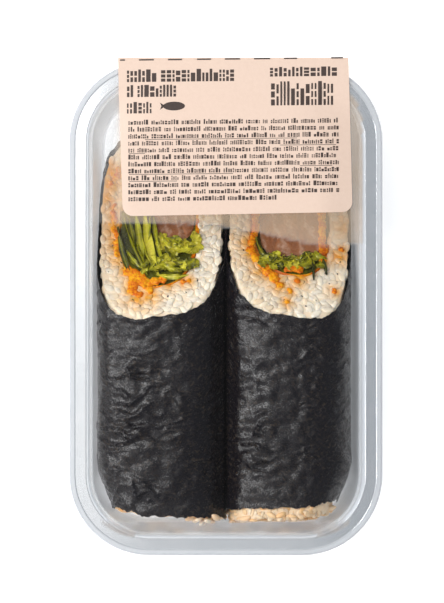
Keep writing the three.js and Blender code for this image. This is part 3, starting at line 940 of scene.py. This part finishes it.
def make_rice_core(half):
    clear_selection()
    bpy.ops.mesh.primitive_torus_add(
        major_segments=core_sides, minor_segments=core_rows, major_radius=1, minor_radius=core_tube,
    )
    core = name_new(f"{half['name']}_rice_core")
    shape_rice_core(half, core)
    face_outwards(core)
    smooth_edges(core, 60)
    dress(core, rice_skin, "rice", f"{half['name']}_rice")


def shape_rice_core(half, core):
    ring = points_of(core)
    angle = np.arctan2(ring[:, 1], ring[:, 0])
    thick = np.hypot(ring[:, 0], ring[:, 1]) - 1
    largest = np.maximum(np.abs(thick), np.abs(ring[:, 2]))
    share = (thick / largest + 1) / 2
    along = (ring[:, 2] / largest + 1) / 2
    inner = pocket(half, angle, 0)
    near = section(half, angle, core_inset, half["rice_end"] + core_near_stand)
    far = section(half, angle, core_inset, 0)
    outer = [near[i] + (far[i] - near[i]) * along for i in (0, 1)]
    out, z = (inner[i] + (outer[i] - inner[i]) * share for i in (0, 1))
    large, small = (noise(out, z, 0, size, half["seed"] + i) for i, size in enumerate(core_lump_sizes))
    lump = core_lump * (large + 0.6 * small)
    near_y = end_y(half, out, z) + end_lumps(half, out, z) + core_end_sunk + lump
    far_y = cut_y(out, z) - core_cut_sunk + lump
    x, y = across(half, out), near_y + (far_y - near_y) * along
    settle(core, x, y, z)
    soaked = soaked_stain * sauce_nearness(x, y, half["stains"], soak_reach) * (along > 0.9)
    stain = plain_stain + soaked + end_stain * (along < 0.1)
    warm = 0.5 + 0.5 * noise(out, z, y, 3, 5)
    attribute(core, "tint", np.stack([stain, warm, warm], axis=1))


for half in halves:
    make_rice_core(half)

# %% [markdown]
# ## Rice grains
#
# The two slanted cuts and the two near ends are covered with true-size grains. One grain is
# modelled: a small sphere, stretched and pinched. Places are drawn at random, and a draw is kept only
# if no grain lies too close, which packs them as rice packs. Three layers are drawn, each nearer the
# face. The knife and the press of the tray flatten what would stand out, and cooked grains stick, so
# they sink well into each other. A few loose grains lie at the near end, each at its own place.

# %% Rice grains
grain_size = (5.1, 2.6, 2.2)
grain_spacing = 1.15
grain_stands_out = 0.16
grain_pressed = 0.88
grain_pinch = 0.4
grain_lean = 0.55
grain_scales = (0.84, 1.06)
bead_places = (-1.6, 0, 1.6)
tip_places = (-2.5, 2.5)
middle_margin = 1.4
tip_margin = 1.0
cut_tries = 8000
end_tries = 3500
collar_tries = 900
face_depths = (1.7, 0.9, 0.3)
collar_depths = (0.8, 0.1)
collar_insets = (1.2, 2.4)
loose_depth = 1.5
grain_roll = 0.5
grain_bend = 0.05
grain_soak_reach = 1.9
end_stains = (0.25, 0.7)
loose_stains = (0.1, 0.7)
cut_stain = 0.08
cut_stain_left = 0.2
streak_size = 1.6
rng = np.random.default_rng(7)


def grain_model():
    points, faces = ball_model(2, 0.5)
    pinch = 1 - grain_pinch * points[:, 0] ** 2
    points = points * np.array(grain_size)
    points[:, 1:] *= pinch[:, None]
    return points, faces


def is_over_rice(half, points, margin):
    out, z = half["side"] * points[:, 0] - roll_centre_x, points[:, 2]
    drawn_in = np.where(out > 0, outer_side(half, points[:, 1], z), 0)
    skin = np.abs(out / (roll_half_width - margin - drawn_in)) ** roll_squareness
    skin += np.abs((z - roll_centre_z) / (roll_half_height - margin)) ** roll_squareness
    tall = np.where(z > pocket_centre_z, half["pocket_top"], pocket_half_height)
    hole = np.abs((out - half["pocket_out"]) / pocket_half_width) ** pocket_squareness
    hole += np.abs((z - pocket_centre_z) / tall) ** pocket_squareness
    return bool(((skin < 1) & (hole > 1)).all())


def face_axes(half, is_cut):
    """Normal of a face of the roll and the two directions in it, in the tray's frame."""
    if not is_cut:
        return np.array([0.0, -1, 0]), np.array([1.0, 0, 0]), np.array([0.0, 0, 1])
    normal = direction_of(np.array([half["side"] * cut_lean, cut_slope, 1.0]))
    sideways = direction_of(np.array([half["side"], 0, -cut_lean]))
    return normal, sideways, np.cross(normal, sideways)


def lying(normal, first, second):
    """A random direction that lies nearly flat on a face."""
    turn = rng.uniform(0, math.pi)
    flat = math.cos(turn) * first + math.sin(turn) * second
    return direction_of(flat + rng.uniform(-grain_lean, grain_lean) * normal)


def draw_on_face(half, is_cut, depth):
    normal, sideways, upward = face_axes(half, is_cut)
    out = rng.uniform(-1, 1) * roll_half_width
    z = roll_centre_z + rng.uniform(-1, 1) * roll_half_height
    y = cut_y(out, z) if is_cut else end_y(half, out, z) + float(end_lumps(half, out, z))
    along = lying(normal, sideways, upward)
    centre = np.array([across(half, out), y, z]) - depth * normal
    tips = centre + np.outer(tip_places, along)
    inside = is_over_rice(half, centre[None], middle_margin) and is_over_rice(half, tips, tip_margin)
    return (centre, along, normal, depth) if inside else None


def draw_on_collar(half, depth):
    """On the upper side of the roll, where the rice reaches past the end of the wrap."""
    angle = rng.uniform(0.05, 0.95) * math.pi
    y = rng.uniform(half["rice_end"] + 0.8, half["nori_end"] + 1.0)
    outer, inner = [section(half, angle, inset, y) for inset in collar_insets]
    normal = direction_of(np.array([half["side"] * (outer[0] - inner[0]), 0, outer[1] - inner[1]]))
    y = y + end_bulge(*outer)
    centre = np.array([across(half, outer[0]), y, outer[1]]) - depth * normal
    along = lying(normal, np.cross(normal, [0.0, 1, 0]), np.array([0.0, 1, 0]))
    return centre, along, normal, depth


def pack(draw, tries):
    """Keeps the drawn grains that lie clear of those kept before."""
    beads = np.empty((0, 3))
    kept = []
    for _ in range(tries):
        place = draw()
        if place is None:
            continue
        own = place[0] + np.outer(bead_places, place[1])
        if (np.linalg.norm(beads[:, None] - own[None], axis=2) >= grain_spacing).all():
            beads = np.vstack([beads, own])
            kept.append(place)
    return kept


def one_grain(model, place):
    """The grain's points in place, flattened where they stand out of the face."""
    centre, along, normal, depth = place
    broad = direction_of(np.cross(normal, along))
    lift = np.cross(along, broad)
    roll = rng.uniform(-grain_roll, grain_roll)
    cosine, sine = math.cos(roll), math.sin(roll)
    bent = model.copy()
    bent[:, 2] -= rng.uniform(0, grain_bend) * model[:, 0] ** 2
    axes = np.array([along, cosine * broad + sine * lift, cosine * lift - sine * broad])
    points = (bent * rng.uniform(*grain_scales)) @ axes
    standing = points @ normal - depth
    points -= grain_pressed * np.maximum(standing - grain_stands_out, 0)[:, None] * normal
    return centre + points


def write_grains(places, stains, name):
    model, faces = grain_model()
    points = np.concatenate([one_grain(model, place) for place in places])
    shades = np.stack([stains, rng.random(len(places)), rng.random(len(places))], axis=1)
    pale = pale_side(np.array([place[0] for place in places]))
    shades[:, 1] = np.clip(shades[:, 1] * 0.7 + 0.35 * pale, 0, 1)
    piece = from_points(name, points, repeat_faces(faces, len(model), len(places)))
    shades = np.repeat(shades, len(model), axis=0)
    soaked = left_half["stains"] + right_half["stains"]
    near = sauce_nearness(points[:, 0], points[:, 1], soaked, grain_soak_reach)
    streaky = 0.78 + 0.4 * noise(*points.T, streak_size, 17)
    shades[:, 0] = np.clip(shades[:, 0] + near * streaky, 0, 1)
    attribute(piece, "tint", shades)
    pick(piece)
    bpy.ops.object.shade_smooth()
    return piece


def pale_side(centres):
    """Rice is whiter towards the right side of each half, away from most of the sauce."""
    width = 2 * roll_centre_x
    from_left = np.where(centres[:, 0] < 0, centres[:, 0] + width, centres[:, 0]) / width
    return smooth_step(1.6 * from_left - 0.3)


def stain_of(place):
    """How yellow a whole grain is, apart from the sauce near it."""
    if place[2][1] <= 0:
        return rng.uniform(*end_stains)
    return (cut_stain_left * (1 - pale_side(place[0][None])[0]) + cut_stain) * rng.random()


loose_grains = [
    (191, 518, 40), (195, 521, 38), (199, 519, 41), (203, 523, 37), (208, 521, 40), (212, 522, 36),
    (216, 518, 40), (221, 517, 30), (226, 514, 26), (230, 512, 24), (234, 515, 30), (242, 516, 38),
    (247, 518, 35), (253, 516, 39), (263, 519, 37), (268, 517, 33), (284, 517, 38), (293, 519, 36),
    (299, 517, 39), (308, 515, 35), (317, 515, 38), (324, 512, 36), (331, 509, 35),
]
grain_places, grain_stains = [], []
for half in halves:
    packs = [
        pack(lambda: draw_on_face(half, is_cut, depth), tries)
        for is_cut, tries in ((True, cut_tries), (False, end_tries)) for depth in face_depths
    ]
    if half["rice_end"] < half["nori_end"]:
        packs += [pack(lambda: draw_on_collar(half, depth), collar_tries) for depth in collar_depths]
    for places in packs:
        grain_places += places
        grain_stains += [stain_of(place) for place in places]
end_axes = face_axes(right_half, False)
for px, py, z in loose_grains:
    centre = np.array([*from_photo(px, py), z])
    grain_places.append((centre, lying(*end_axes), end_axes[0], loose_depth))
    grain_stains.append(rng.uniform(*loose_stains))
rice_grains = write_grains(grain_places, np.array(grain_stains), "rice_grains")
dress(rice_grains, rice_skin, "rice")
print("grains", len(grain_places))

# %% [markdown]
# ## Salmon
#
# The fish runs through the roll as one thick strip. A cube, subdivided and then rounded by a rule,
# gives a block whose ends have points enough for the flakes: on the cut they step up and down in
# slanted bands.

# %% Salmon
salmon_cuts = 30
salmon_squareness = 3.6
flake_pitch = 3.4
flake_depth = 0.9
flake_slant = (0.9, 0.35)
salmon_roughness = 0.35
salmon_end_sunk = 0.4
salmon_cut_sunk = 0.7


def rounded_block(name, cuts):
    clear_selection()
    bpy.ops.mesh.primitive_cube_add(size=2)
    block = name_new(name)
    edit(block)
    bpy.ops.mesh.subdivide(number_cuts=cuts)
    leave_edit()
    return block


def round_plan(unit, squareness):
    """Sends a cube's square section to a rounded one, both from -1 to 1."""
    share = np.maximum(np.abs(unit[:, 0]), np.abs(unit[:, 2]))
    wide, high = squircle(np.arctan2(unit[:, 2], unit[:, 0]), squareness)
    return share * wide, share * high


def run_through(half, block, out, z, near, far):
    """Stretches a block from the near end to the cut, with its end faces set back by near and far."""
    share = (points_of(block)[:, 1] + 1) / 2
    start = end_y(half, out, z) + near
    stop = cut_y(out, z) - far
    settle(block, across(half, out), start + (stop - start) * share, z)


def make_salmon(half):
    centre_out, centre_z, half_width, half_height = half["salmon"]
    salmon = rounded_block(f"{half['name']}_salmon_strip", salmon_cuts)
    unit_out, unit_z = round_plan(points_of(salmon), salmon_squareness)
    out = centre_out + half_width * unit_out
    z = centre_z + half_height * unit_z
    slant = out * flake_slant[0] + z * flake_slant[1] + 1.2 * noise(out, z, 0, 5, half["seed"])
    slant = slant / flake_pitch
    flake = np.abs(slant - np.round(slant)) * 2
    rough = salmon_roughness * noise(out, z, 0, 1.5, half["seed"] + 3)
    far = salmon_cut_sunk + flake_depth * flake ** 3 + rough
    run_through(half, salmon, out, z, salmon_end_sunk + rough, far)
    smooth_edges(salmon, 50)
    dress(salmon, fish_flesh, "salmon", f"{half['name']}_salmon")


for half in halves:
    make_salmon(half)

# %% [markdown]
# ## Sauce
#
# The sauce lies as a crescent layer along the pocket's upper wall, and on the cut it has squeezed
# out in granular heaps. The layer is one strip through the roll. The heaps are many small balls
# around each dab, fused by the Remesh modifier and smoothed, which gives soft lumps like roe in
# mayonnaise.

# %% Sauce
sauce_sides = 28
sauce_voxel = 0.3
sauce_smoothing = 11
layer_thickness = 1.3
pocket_gap = 0.35
heap_width = 0.3
heap_height = 0.35
fewest_balls = 6
balls_by_size = 1.5
ball_sizes = (0.4, 0.8)
ball_lifts = (-0.3, 0.15)
layer_end_sunk = 0.3
layer_cut_sunk = 1.2


def sauce_depth(half, angle):
    start, stop, thickness, peak, peak_thickness = half["sauce"]
    share = np.clip((angle - start) / (stop - start), 0.0001, 0.9999)
    heap = np.exp(-(((angle - peak) / heap_width) ** 2))
    return (thickness + (peak_thickness - thickness) * heap) * np.sin(math.pi * share) ** 0.4


def make_sauce_layer(half):
    layer = grid(f"{half['name']}_sauce_layer", sauce_sides, 2)
    flat = points_of(layer)
    start, stop = half["sauce"][:2]
    angle = start + (stop - start) * (flat[:, 0] + 1) / 2
    out, z = pocket(half, angle, pocket_gap + sauce_depth(half, angle) * 0.5)
    run_through(half, layer, out, z, layer_end_sunk, layer_cut_sunk)
    modify(layer, "SOLIDIFY", thickness=layer_thickness * MM, offset=0)
    return layer


def sauce_balls(half):
    """Small balls round every dab, on the cut face."""
    balls = []
    normal = face_axes(half, True)[0]
    for px, py, size in half["dabs"]:
        x, y = from_photo(px, py)
        spread = size * photo_scale
        for _ in range(int(fewest_balls + size * size * balls_by_size)):
            angle, distance = rng.uniform(0, 2 * math.pi), spread * math.sqrt(rng.random())
            ball_x, ball_y = x + distance * math.cos(angle), y + distance * math.sin(angle)
            base = np.array([ball_x, ball_y, float(on_cut(half, ball_x, ball_y))])
            height = heap_height * (1 - distance / (spread + 0.01)) + rng.uniform(*ball_lifts)
            balls.append((base + height * normal, rng.uniform(*ball_sizes)))
    return balls


def write_balls(balls, name):
    unit, faces = ball_model(1, 1)
    points = np.concatenate([centre + unit * radius for centre, radius in balls])
    return from_points(name, points, repeat_faces(faces, len(unit), len(balls)))


for half in halves:
    heaps = write_balls(sauce_balls(half), f"{half['name']}_heaps")
    modify(heaps, "REMESH", mode="VOXEL", voxel_size=sauce_voxel * MM)
    modify(heaps, "SMOOTH", factor=0.5, iterations=sauce_smoothing)
    sauce = join([make_sauce_layer(half), heaps], f"{half['name']}_sauce_heaps")
    smooth_edges(sauce, 60)
    dress(sauce, sauce_skin, "sauce", f"{half['name']}_sauce")

# %% [markdown]
# ## Specks
#
# The knife leaves a few dark crumbs of seaweed on the rice. They are tiny, so plain balls do.

# %% Specks
speck_places = [
    (120, 262), (133, 300), (150, 302), (168, 296), (112, 245), (186, 292), (197, 280), (108, 272),
    (140, 306), (246, 262), (252, 282), (268, 292), (284, 300), (302, 296), (316, 300), (330, 284),
    (338, 274), (326, 273), (244, 250), (341, 262), (306, 306), (262, 298),
]
speck_sizes = (0.14, 0.3)
speck_lift = 0.25
speck_spread = 0.25


def make_specks():
    balls = []
    for px, py in speck_places:
        half = left_half if px < photo_centre[0] else right_half
        x, y = from_photo(px, py)
        centre = np.array([x, y, float(on_cut(half, x, y)) + speck_lift])
        for _ in range(3):
            spread = rng.uniform(-speck_spread, speck_spread, 3)
            balls.append((centre + spread, rng.uniform(*speck_sizes)))
    specks = write_balls(balls, "nori_specks")
    dress(specks, seaweed, "nori")


make_specks()

# %% [markdown]
# ## Lettuce
#
# The leaf filling is many strips packed side by side, seen from above as long blades on the left
# and as frills further right. A dark core fills the pocket. Each strip is a small grid bent along a
# curve on the cut face, tilted to stand partly on edge, and ruffled along its rim. A blade is given by
# the start, middle and end of its curve, then its width, tilt, ruffle and shade. The frills are drawn
# at random round a spot, which is given by its middle, how far it reaches, and how many lie there.

# %% Lettuce
leaf_columns = 26
leaf_rows = 6
leaf_thickness = 0.2
leaf_rise = 0.3
leaf_arch = 0.9
leaf_curl = 0.3
leaf_core_gap = 0.4
leaf_core_lump = 0.8
leaf_end_sunk = 0.9
leaf_cut_sunk = 2.2
ripples = 15
rib_width = 0.16
frill_looks = [(7, 12), (0.1, 1.0), (0.35, 0.7), (0.35, 1)]
left_half["leaf_light"] = 1.0
left_half["blades"] = [
    (123, 216, 128, 240, 147, 275, 6, 0.9, 0.0, 0.42), (117, 226, 120, 252, 129, 272, 6, 0.5, 0.1, 0.25),
    (135, 212, 139, 240, 143, 268, 8, 0.5, 0.1, 0.62), (144, 214, 147, 245, 158, 275, 9, 0.4, 0.0, 0.95),
    (138, 226, 142, 250, 152, 266, 5, 0.9, 0.1, 0.80), (153, 216, 155, 243, 165, 270, 7, 0.6, 0.1, 0.58),
    (159, 232, 164, 246, 176, 253, 7, 0.4, 0.3, 0.72), (150, 212, 148, 230, 146, 242, 6, 0.8, 0.1, 0.60),
    (156, 274, 170, 279, 188, 275, 6, 0.7, 0.7, 0.74), (126, 250, 133, 262, 141, 268, 5, 0.5, 0.2, 0.5),
    (127, 214, 132, 236, 137, 258, 6, 0.5, 0.1, 0.38), (131, 234, 137, 251, 146, 268, 6, 0.5, 0.15, 0.55),
    (160, 262, 168, 270, 182, 270, 7, 0.4, 0.5, 0.66), (166, 258, 176, 264, 190, 262, 6, 0.5, 0.6, 0.55),
]
left_half["frills"] = [
    (178, 256, 19, 14, 20), (150, 262, 14, 9, 5), (190, 241, 8, 7, 4), (171, 243, 13, 4, 5),
]
right_half["leaf_light"] = 0.85
right_half["blades"] = [
    (256, 236, 259, 252, 273, 264, 6, 0.8, 0.2, 0.42), (312, 258, 314, 268, 314, 280, 3, 0.9, 0.1, 0.05),
    (322, 256, 326, 266, 327, 275, 4, 0.8, 0.1, 0.12), (261, 246, 266, 256, 275, 265, 5, 0.9, 0.2, 0.2),
]
right_half["frills"] = [(293, 260, 29, 5, 20), (272, 260, 9, 6, 5)]


def draw_frill(spot):
    """A short ruffled strip near a spot, drawn at random, in the same form as a blade."""
    px, py, wide, high, _ = spot
    centre = np.array([px + wide * rng.uniform(-1, 1), py + high * rng.uniform(-1, 1)])
    turn = rng.uniform(0, 2 * math.pi)
    arm = np.array([math.cos(turn), 0.6 * math.sin(turn)]) * rng.uniform(6, 12)
    bend = np.array([-arm[1], arm[0]]) * rng.uniform(-0.7, 0.7)
    looks = [rng.uniform(*limits) for limits in frill_looks]
    return *(centre - arm), *(centre + bend), *(centre + arm), *looks


def bend_leaf(half, strip, number):
    width, tilt, ruffle, shade_value = strip[6:]
    leaf = grid(f"leaf_{number}", leaf_columns, leaf_rows)
    flat = points_of(leaf)
    share, side = (flat[:, 0] + 1) / 2, flat[:, 1]
    ends = [np.array(from_photo(*strip[i:i + 2])) for i in (0, 2, 4)]
    weights = (1 - share) ** 2, 2 * share * (1 - share), share ** 2
    centre = sum(np.outer(weight, point) for weight, point in zip(weights, ends))
    heading = 2 * (np.outer(1 - share, ends[1] - ends[0]) + np.outer(share, ends[2] - ends[1]))
    heading /= np.linalg.norm(heading, axis=1)[:, None]
    reach = width * photo_scale / 2 * np.sin(math.pi * np.clip(share, 0.06, 0.95)) ** 0.6
    lean = tilt + 0.35 * np.sin(5 * share + number)
    x = centre[:, 0] - heading[:, 1] * side * reach * np.cos(lean)
    y = centre[:, 1] + heading[:, 0] * side * reach * np.cos(lean)
    wave = ruffle * np.sin(ripples * share + 2 * number) * side ** 2
    x = x + 0.4 * ruffle * np.cos(17 * share + number) * np.abs(side)
    height = leaf_rise + side * reach * np.sin(lean) + wave
    height = height + leaf_arch * np.sin(math.pi * share) + leaf_curl * side ** 2
    settle(leaf, x, y, on_cut(half, x, y) + height)
    rib = np.exp(-(side / rib_width) ** 2)
    # folds is painted shade: a lighter and darker band that follows the slopes of each ruffle
    folds = 0.16 * np.sin(ripples * share + 2 * number + 0.8) * np.abs(side)
    attribute(leaf, "shade", np.clip(shade_value + 0.22 * rib - 0.15 * np.abs(side) + folds, 0, 1))
    modify(leaf, "SOLIDIFY", thickness=leaf_thickness * MM, offset=0)
    return leaf


def leaf_core(half):
    core = rounded_block(f"{half['name']}_leaf_core", 20)
    out, z = in_pocket(half, *round_plan(points_of(core), pocket_squareness), leaf_core_gap)
    lump = leaf_core_lump * noise(out, z, 0, 2.2, half["seed"] + 9)
    run_through(half, core, out, z, leaf_end_sunk + lump, leaf_cut_sunk + lump)
    attribute(core, "shade", np.clip(0.3 + 0.28 * noise(out, z, 0, 1.6, 4), 0, 1))
    return core


for half in halves:
    strips = half["blades"] + [draw_frill(spot) for spot in half["frills"] for _ in range(spot[4])]
    strips = [(*strip[:-1], strip[-1] * half["leaf_light"]) for strip in strips]
    bent = [bend_leaf(half, strip, number) for number, strip in enumerate(strips)]
    lettuce = join([leaf_core(half), *bent], f"{half['name']}_lettuce_leaves")
    smooth_edges(lettuce, 60)
    dress(lettuce, leaf_skin, "lettuce", f"{half['name']}_lettuce")

# %% [markdown]
# ## The film
#
# The film is stretched over the rim and rises a little over the rolls. A fine grid carries it, whose
# rings are bent into rectangles with round corners, so that its edge runs smoothly. Its points also
# carry the mask of where the film looks milky: past the front edge of the label, in a patch with a
# clear curved border, and more greyly at the near end, where no food touches it.

# %% The film
seal_inset = 6.2
seal_radius = 26
film_rise = 1.4
film_rise_width = 17
film_radius = 23
film_columns = 120
film_rows = 150
film_corner_share = 0.3
film_thickness = 0.12
film_gap = 0.12
film_wrinkle = 0.12
wrinkle_size = (9, 14, 1)
wrinkle_start = 6
veil_border_x = (-45, -8, 12, 33, 39, 47)
veil_border_y = (30.6, 30.8, 27.4, 22.8, 22.6, 23.4)
veil_softness = 0.9
weak_veil = 0.2
strong_veil = 0.55
strong_veil_start = -40.5
strong_veil_width = 3
near_end_start = -76.2
near_end_softness = 1.2


def film_height(x, y):
    """Height of the film's underside."""
    inside = rounded_inside(x, y, seal_radius, seal_inset)
    return tray_height + film_rise * smooth_step(inside / film_rise_width)


def rounded_rings(unit, half_x, half_y, radius):
    """Sends the rings of a square grid to rings of a rectangle with round corners."""
    ring = np.maximum(np.abs(unit[:, :2]).max(axis=1), 0.0001)
    u, v = np.abs(unit[:, 0]) / ring, np.abs(unit[:, 1]) / ring
    from_corner = 1 - np.minimum(u, v)
    bend = np.clip(1 - from_corner / film_corner_share, 0, 1) * math.pi / 4
    straight = np.minimum((1 - from_corner) / (1 - film_corner_share), 1)
    near_side, near_middle = radius * np.cos(bend), radius * np.sin(bend)
    x = np.where(u >= v, half_x - radius + near_side, straight * (half_x - radius) + near_middle)
    y = np.where(u >= v, straight * (half_y - radius) + near_middle, half_y - radius + near_side)
    return x * ring * np.sign(unit[:, 0]), y * ring * np.sign(unit[:, 1])


def make_film():
    film = grid("film_sheet", film_columns, film_rows)
    x, y = rounded_rings(points_of(film), tray_width / 2, tray_length / 2, film_radius)
    free = smooth_step((rounded_inside(x, y, film_radius) - seal_inset) / wrinkle_start)
    z = film_height(x, y) + film_gap + free * film_wrinkle * noise(x, y, 0, wrinkle_size, 3)
    settle(film, x, y, z)
    attribute(film, "haze", haze_mask(x, y))
    modify(film, "SOLIDIFY", thickness=film_thickness * MM, offset=1)
    smooth_edges(film, 60)
    dress(film, film_plastic, "clear_film", "lid_film")


def haze_mask(x, y):
    """How milky the film is at each point, and whether that is the haze of the near end."""
    border = np.interp(x, veil_border_x, veil_border_y)
    inner = rounded_inside(x, y, film_radius) > seal_inset + 1
    strength = weak_veil + strong_veil * smooth_step((x - strong_veil_start) / strong_veil_width)
    veil = smooth_step((y - border) / veil_softness + 0.5) * strength
    near_end = smooth_step((near_end_start - y) / near_end_softness)
    near_end = near_end * (1 + 0.5 * noise(x, y, 0, (6, 3, 1), 8))
    patchy = 1 + 0.15 * noise(x, y, 0, 8, 6)
    amount = np.clip(np.maximum(veil, near_end) * inner * patchy, 0, 1)
    return np.stack([amount, near_end > veil, amount], axis=1)


make_film()

# %% [markdown]
# ## The label
#
# The label is paper, stuck on a little askew, folded over the far end of the rim and down to the foot
# of the end wall. A grid is laid along that path: over the film, round the fold and down. Its two
# front corners are round, which the width of its first rows gives.

# %% The label
label_back = (-38.8, 44.2)
label_front = (-37.0, 45.6)
label_front_y = (33.2, 34.75)
label_fold_y = tray_length / 2 + 1.2
label_corner = 3.6
label_foot = (79.6, 4.6)
label_lift = 0.42
label_thickness = 0.15
label_columns = 40
label_reach = 54.2
label_half_width = 40.9
fold_radius = 0.8
corner_rows = [0, 0.15, 0.4, 0.8, 1.3, 2, 2.8]
face_rows = 46
fold_start = 0.2
fold_rows = 6
flap_top = tray_height - 1.2
flap_bend = tray_height - 3.4
flap_rows = 4
slant_rows = 20


def label_path():
    """Rows of the label: first their shares of the face, then y and z of those past the face."""
    face = np.concatenate([corner_rows, np.linspace(label_corner, label_reach, face_rows)]) / label_reach
    turn = np.linspace(fold_start, 1, fold_rows) * math.pi / 2
    slant = np.linspace(0.05, 1, slant_rows)
    y = np.concatenate([
        label_fold_y - fold_radius * (1 - np.sin(turn)),
        np.full(flap_rows, label_fold_y),
        label_fold_y + (label_foot[0] - label_fold_y) * slant,
    ])
    z = np.concatenate([
        tray_height + label_lift - fold_radius * (1 - np.cos(turn)),
        np.linspace(flap_top, flap_bend, flap_rows),
        flap_bend + (label_foot[1] - flap_bend) * slant,
    ])
    return face, y, z


def label_point(u, share):
    """Plan place on the label's face: u from -1 to 1 across, share 0 at the front and 1 at the fold."""
    t = (np.asarray(u) + 1) / 2
    left_x = label_front[0] + (label_back[0] - label_front[0]) * share
    right_x = label_front[1] + (label_back[1] - label_front[1]) * share
    front_y = label_front_y[0] + (label_front_y[1] - label_front_y[0]) * t
    return left_x + (right_x - left_x) * t, front_y + (label_fold_y - fold_radius - front_y) * share


def make_label():
    face, rest_y, rest_z = label_path()
    last_row = len(face) + len(rest_y) - 1
    label = grid("label_sheet", label_columns, last_row)
    unit = points_of(label)
    row = np.rint((unit[:, 1] + 1) / 2 * last_row).astype(int)
    on_face = row < len(face)
    share = np.where(on_face, face[np.minimum(row, len(face) - 1)], 1)
    short = np.clip(label_corner - share * label_reach, 0, label_corner)
    narrow = label_corner - np.sqrt(label_corner ** 2 - short ** 2)
    x, y = label_point(unit[:, 0] * (1 - narrow / label_half_width), share)
    z = film_height(x, y) + label_lift
    rest = np.maximum(row - len(face), 0)
    settle(label, x, np.where(on_face, y, rest_y[rest]), np.where(on_face, z, rest_z[rest]))
    face_outwards(label)
    modify(label, "SOLIDIFY", thickness=label_thickness * MM, offset=1)
    smooth_edges(label, 50)
    dress(label, label_paper, "label_paper", "label")


make_label()

# %% [markdown]
# ## Generic print
#
# The print is generic: plain marks in one ink that read as nothing. Large marks stand in rows at the
# top, small ones fill the rows below, thin lines run under a few of them, and a plain fish stands at
# the left. Each mark is one small face just above the paper, placed by where it lies in the photo.

# %% Generic print
ink_lift = label_lift + label_thickness + 0.05
large_rows = [
    (127, 157, 81, 68.5, 2.6, 1.33), (161, 234, 81, 68.5, 2.6, 1.33), (127, 133.5, 96, 84, 2.4, 1.26),
    (137.5, 178, 96, 84, 2.6, 1.33), (127, 154, 112.5, 101, 2.0, 1.47), (270, 340, 77, 67.5, 3.0, 1.54),
    (271, 335.5, 106, 82, 2.2, 1.68),
]
small_left = 128.4
small_right = 339.6
last_right = 278
small_top = 121.5
small_pitch = 6.95
small_foot = 2.2
small_lines = 12
bold_lines = 3
bold_share = 1.25
small_widths = [1.0, 1.4, 2.3]
small_heights = [3.6, 4.1, 4.8]
small_gaps = [0.7, 0.8, 1.0]
group_gap = 2.4
block_share = 0.76
thin_lines = [(2, 145, 300), (3, 280, 339), (4, 129, 150), (6, 300, 339), (7, 129, 240), (8, 129, 180)]
thin_step = 8
thin_foot = 3.6
thin_height = 0.5
fold_dashes = [
    (120, 125), (139, 154), (168, 182), (197, 211), (225, 240), (254, 270), (284, 297), (331, 343),
]
dash_low, dash_high = 59.6, 58.2
print_middle = 234
print_slope = 0.011
fish_x, fish_y = 174, 105.5
fish_half_length, fish_half_height = 11, 4.4
fish_tail = [(-8.5, 0), (-14, 3.5), (-12.5, 0), (-14, -3.5)]
fish_sides = 24
ink = np.random.default_rng(21)


def print_mark(left, right, low, high):
    """One mark: a bar, a shorter bar, or two or three blocks one above another."""
    tall = low - high
    parts = ink.choice([1, 1, 2, 3])
    if parts == 1:
        return [(left, right, low, high + tall * ink.choice([0, 0, 0.3]))]
    pitch = tall / parts
    return [(left, right, low - pitch * i, low - pitch * (i + block_share)) for i in range(parts)]


def large_marks():
    boxes = []
    for left, right, low, high, width, gap in large_rows:
        x = left
        while x + width <= right + 0.5:
            wide = width * ink.choice([0.8, 1, 1.7])
            boxes += print_mark(x, min(x + wide, right), low, high)
            x += wide + gap
    return boxes


def small_line(x, stop, low, weight):
    """Groups of small marks from x to stop."""
    boxes = []
    while x < stop - 3:
        for _ in range(int(ink.integers(3, 12))):
            width = ink.choice(small_widths) * weight
            if x + width > stop:
                break
            boxes += print_mark(x, x + width, low, low - ink.choice(small_heights))
            x += width + ink.choice(small_gaps)
        x += group_gap
    return boxes


def all_marks():
    """Boxes of ink as places in the photo: left, right, lower and upper edge."""
    boxes = large_marks()
    for line in range(small_lines):
        stop = last_right if line == small_lines - 1 else small_right
        weight = bold_share if line >= small_lines - bold_lines else 1
        boxes += small_line(small_left, stop, small_top + small_pitch * line + small_foot, weight)
    for line, left, right in thin_lines:
        low = small_top + small_pitch * line + thin_foot
        starts = range(left, right - thin_step, thin_step)
        boxes += [(x, x + thin_step, low, low - thin_height) for x in starts]
    return boxes + [(left, right, dash_low, dash_high) for left, right in fold_dashes]


def fish_faces():
    """A plain fish: an oval body and a forked tail."""
    turns = np.linspace(0, 2 * math.pi, fish_sides, endpoint=False)
    body = [
        (fish_x + fish_half_length * math.cos(a), fish_y + fish_half_height * math.sin(a)) for a in turns
    ]
    return [body, [(fish_x + x, fish_y + y) for x, y in fish_tail]]


def make_print():
    """The print is askew with the label, so its rows rise a little to the right."""
    boxes = [[(l, low), (r, low), (r, high), (l, high)] for l, r, low, high in all_marks()]
    points, faces = [], []
    for shape in boxes + fish_faces():
        place = np.array([from_photo(px, py - print_slope * (px - print_middle)) for px, py in shape])
        following = np.roll(place, -1, axis=0)
        area = np.sum(place[:, 0] * following[:, 1] - following[:, 0] * place[:, 1])
        place = place if area > 0 else place[::-1]
        faces.append(list(range(len(points), len(points) + len(shape))))
        points += [(x, y, float(film_height(x, y)) + ink_lift) for x, y in place]
    dress(from_points("label_print", points, faces), label_ink, "label_paper")


make_print()
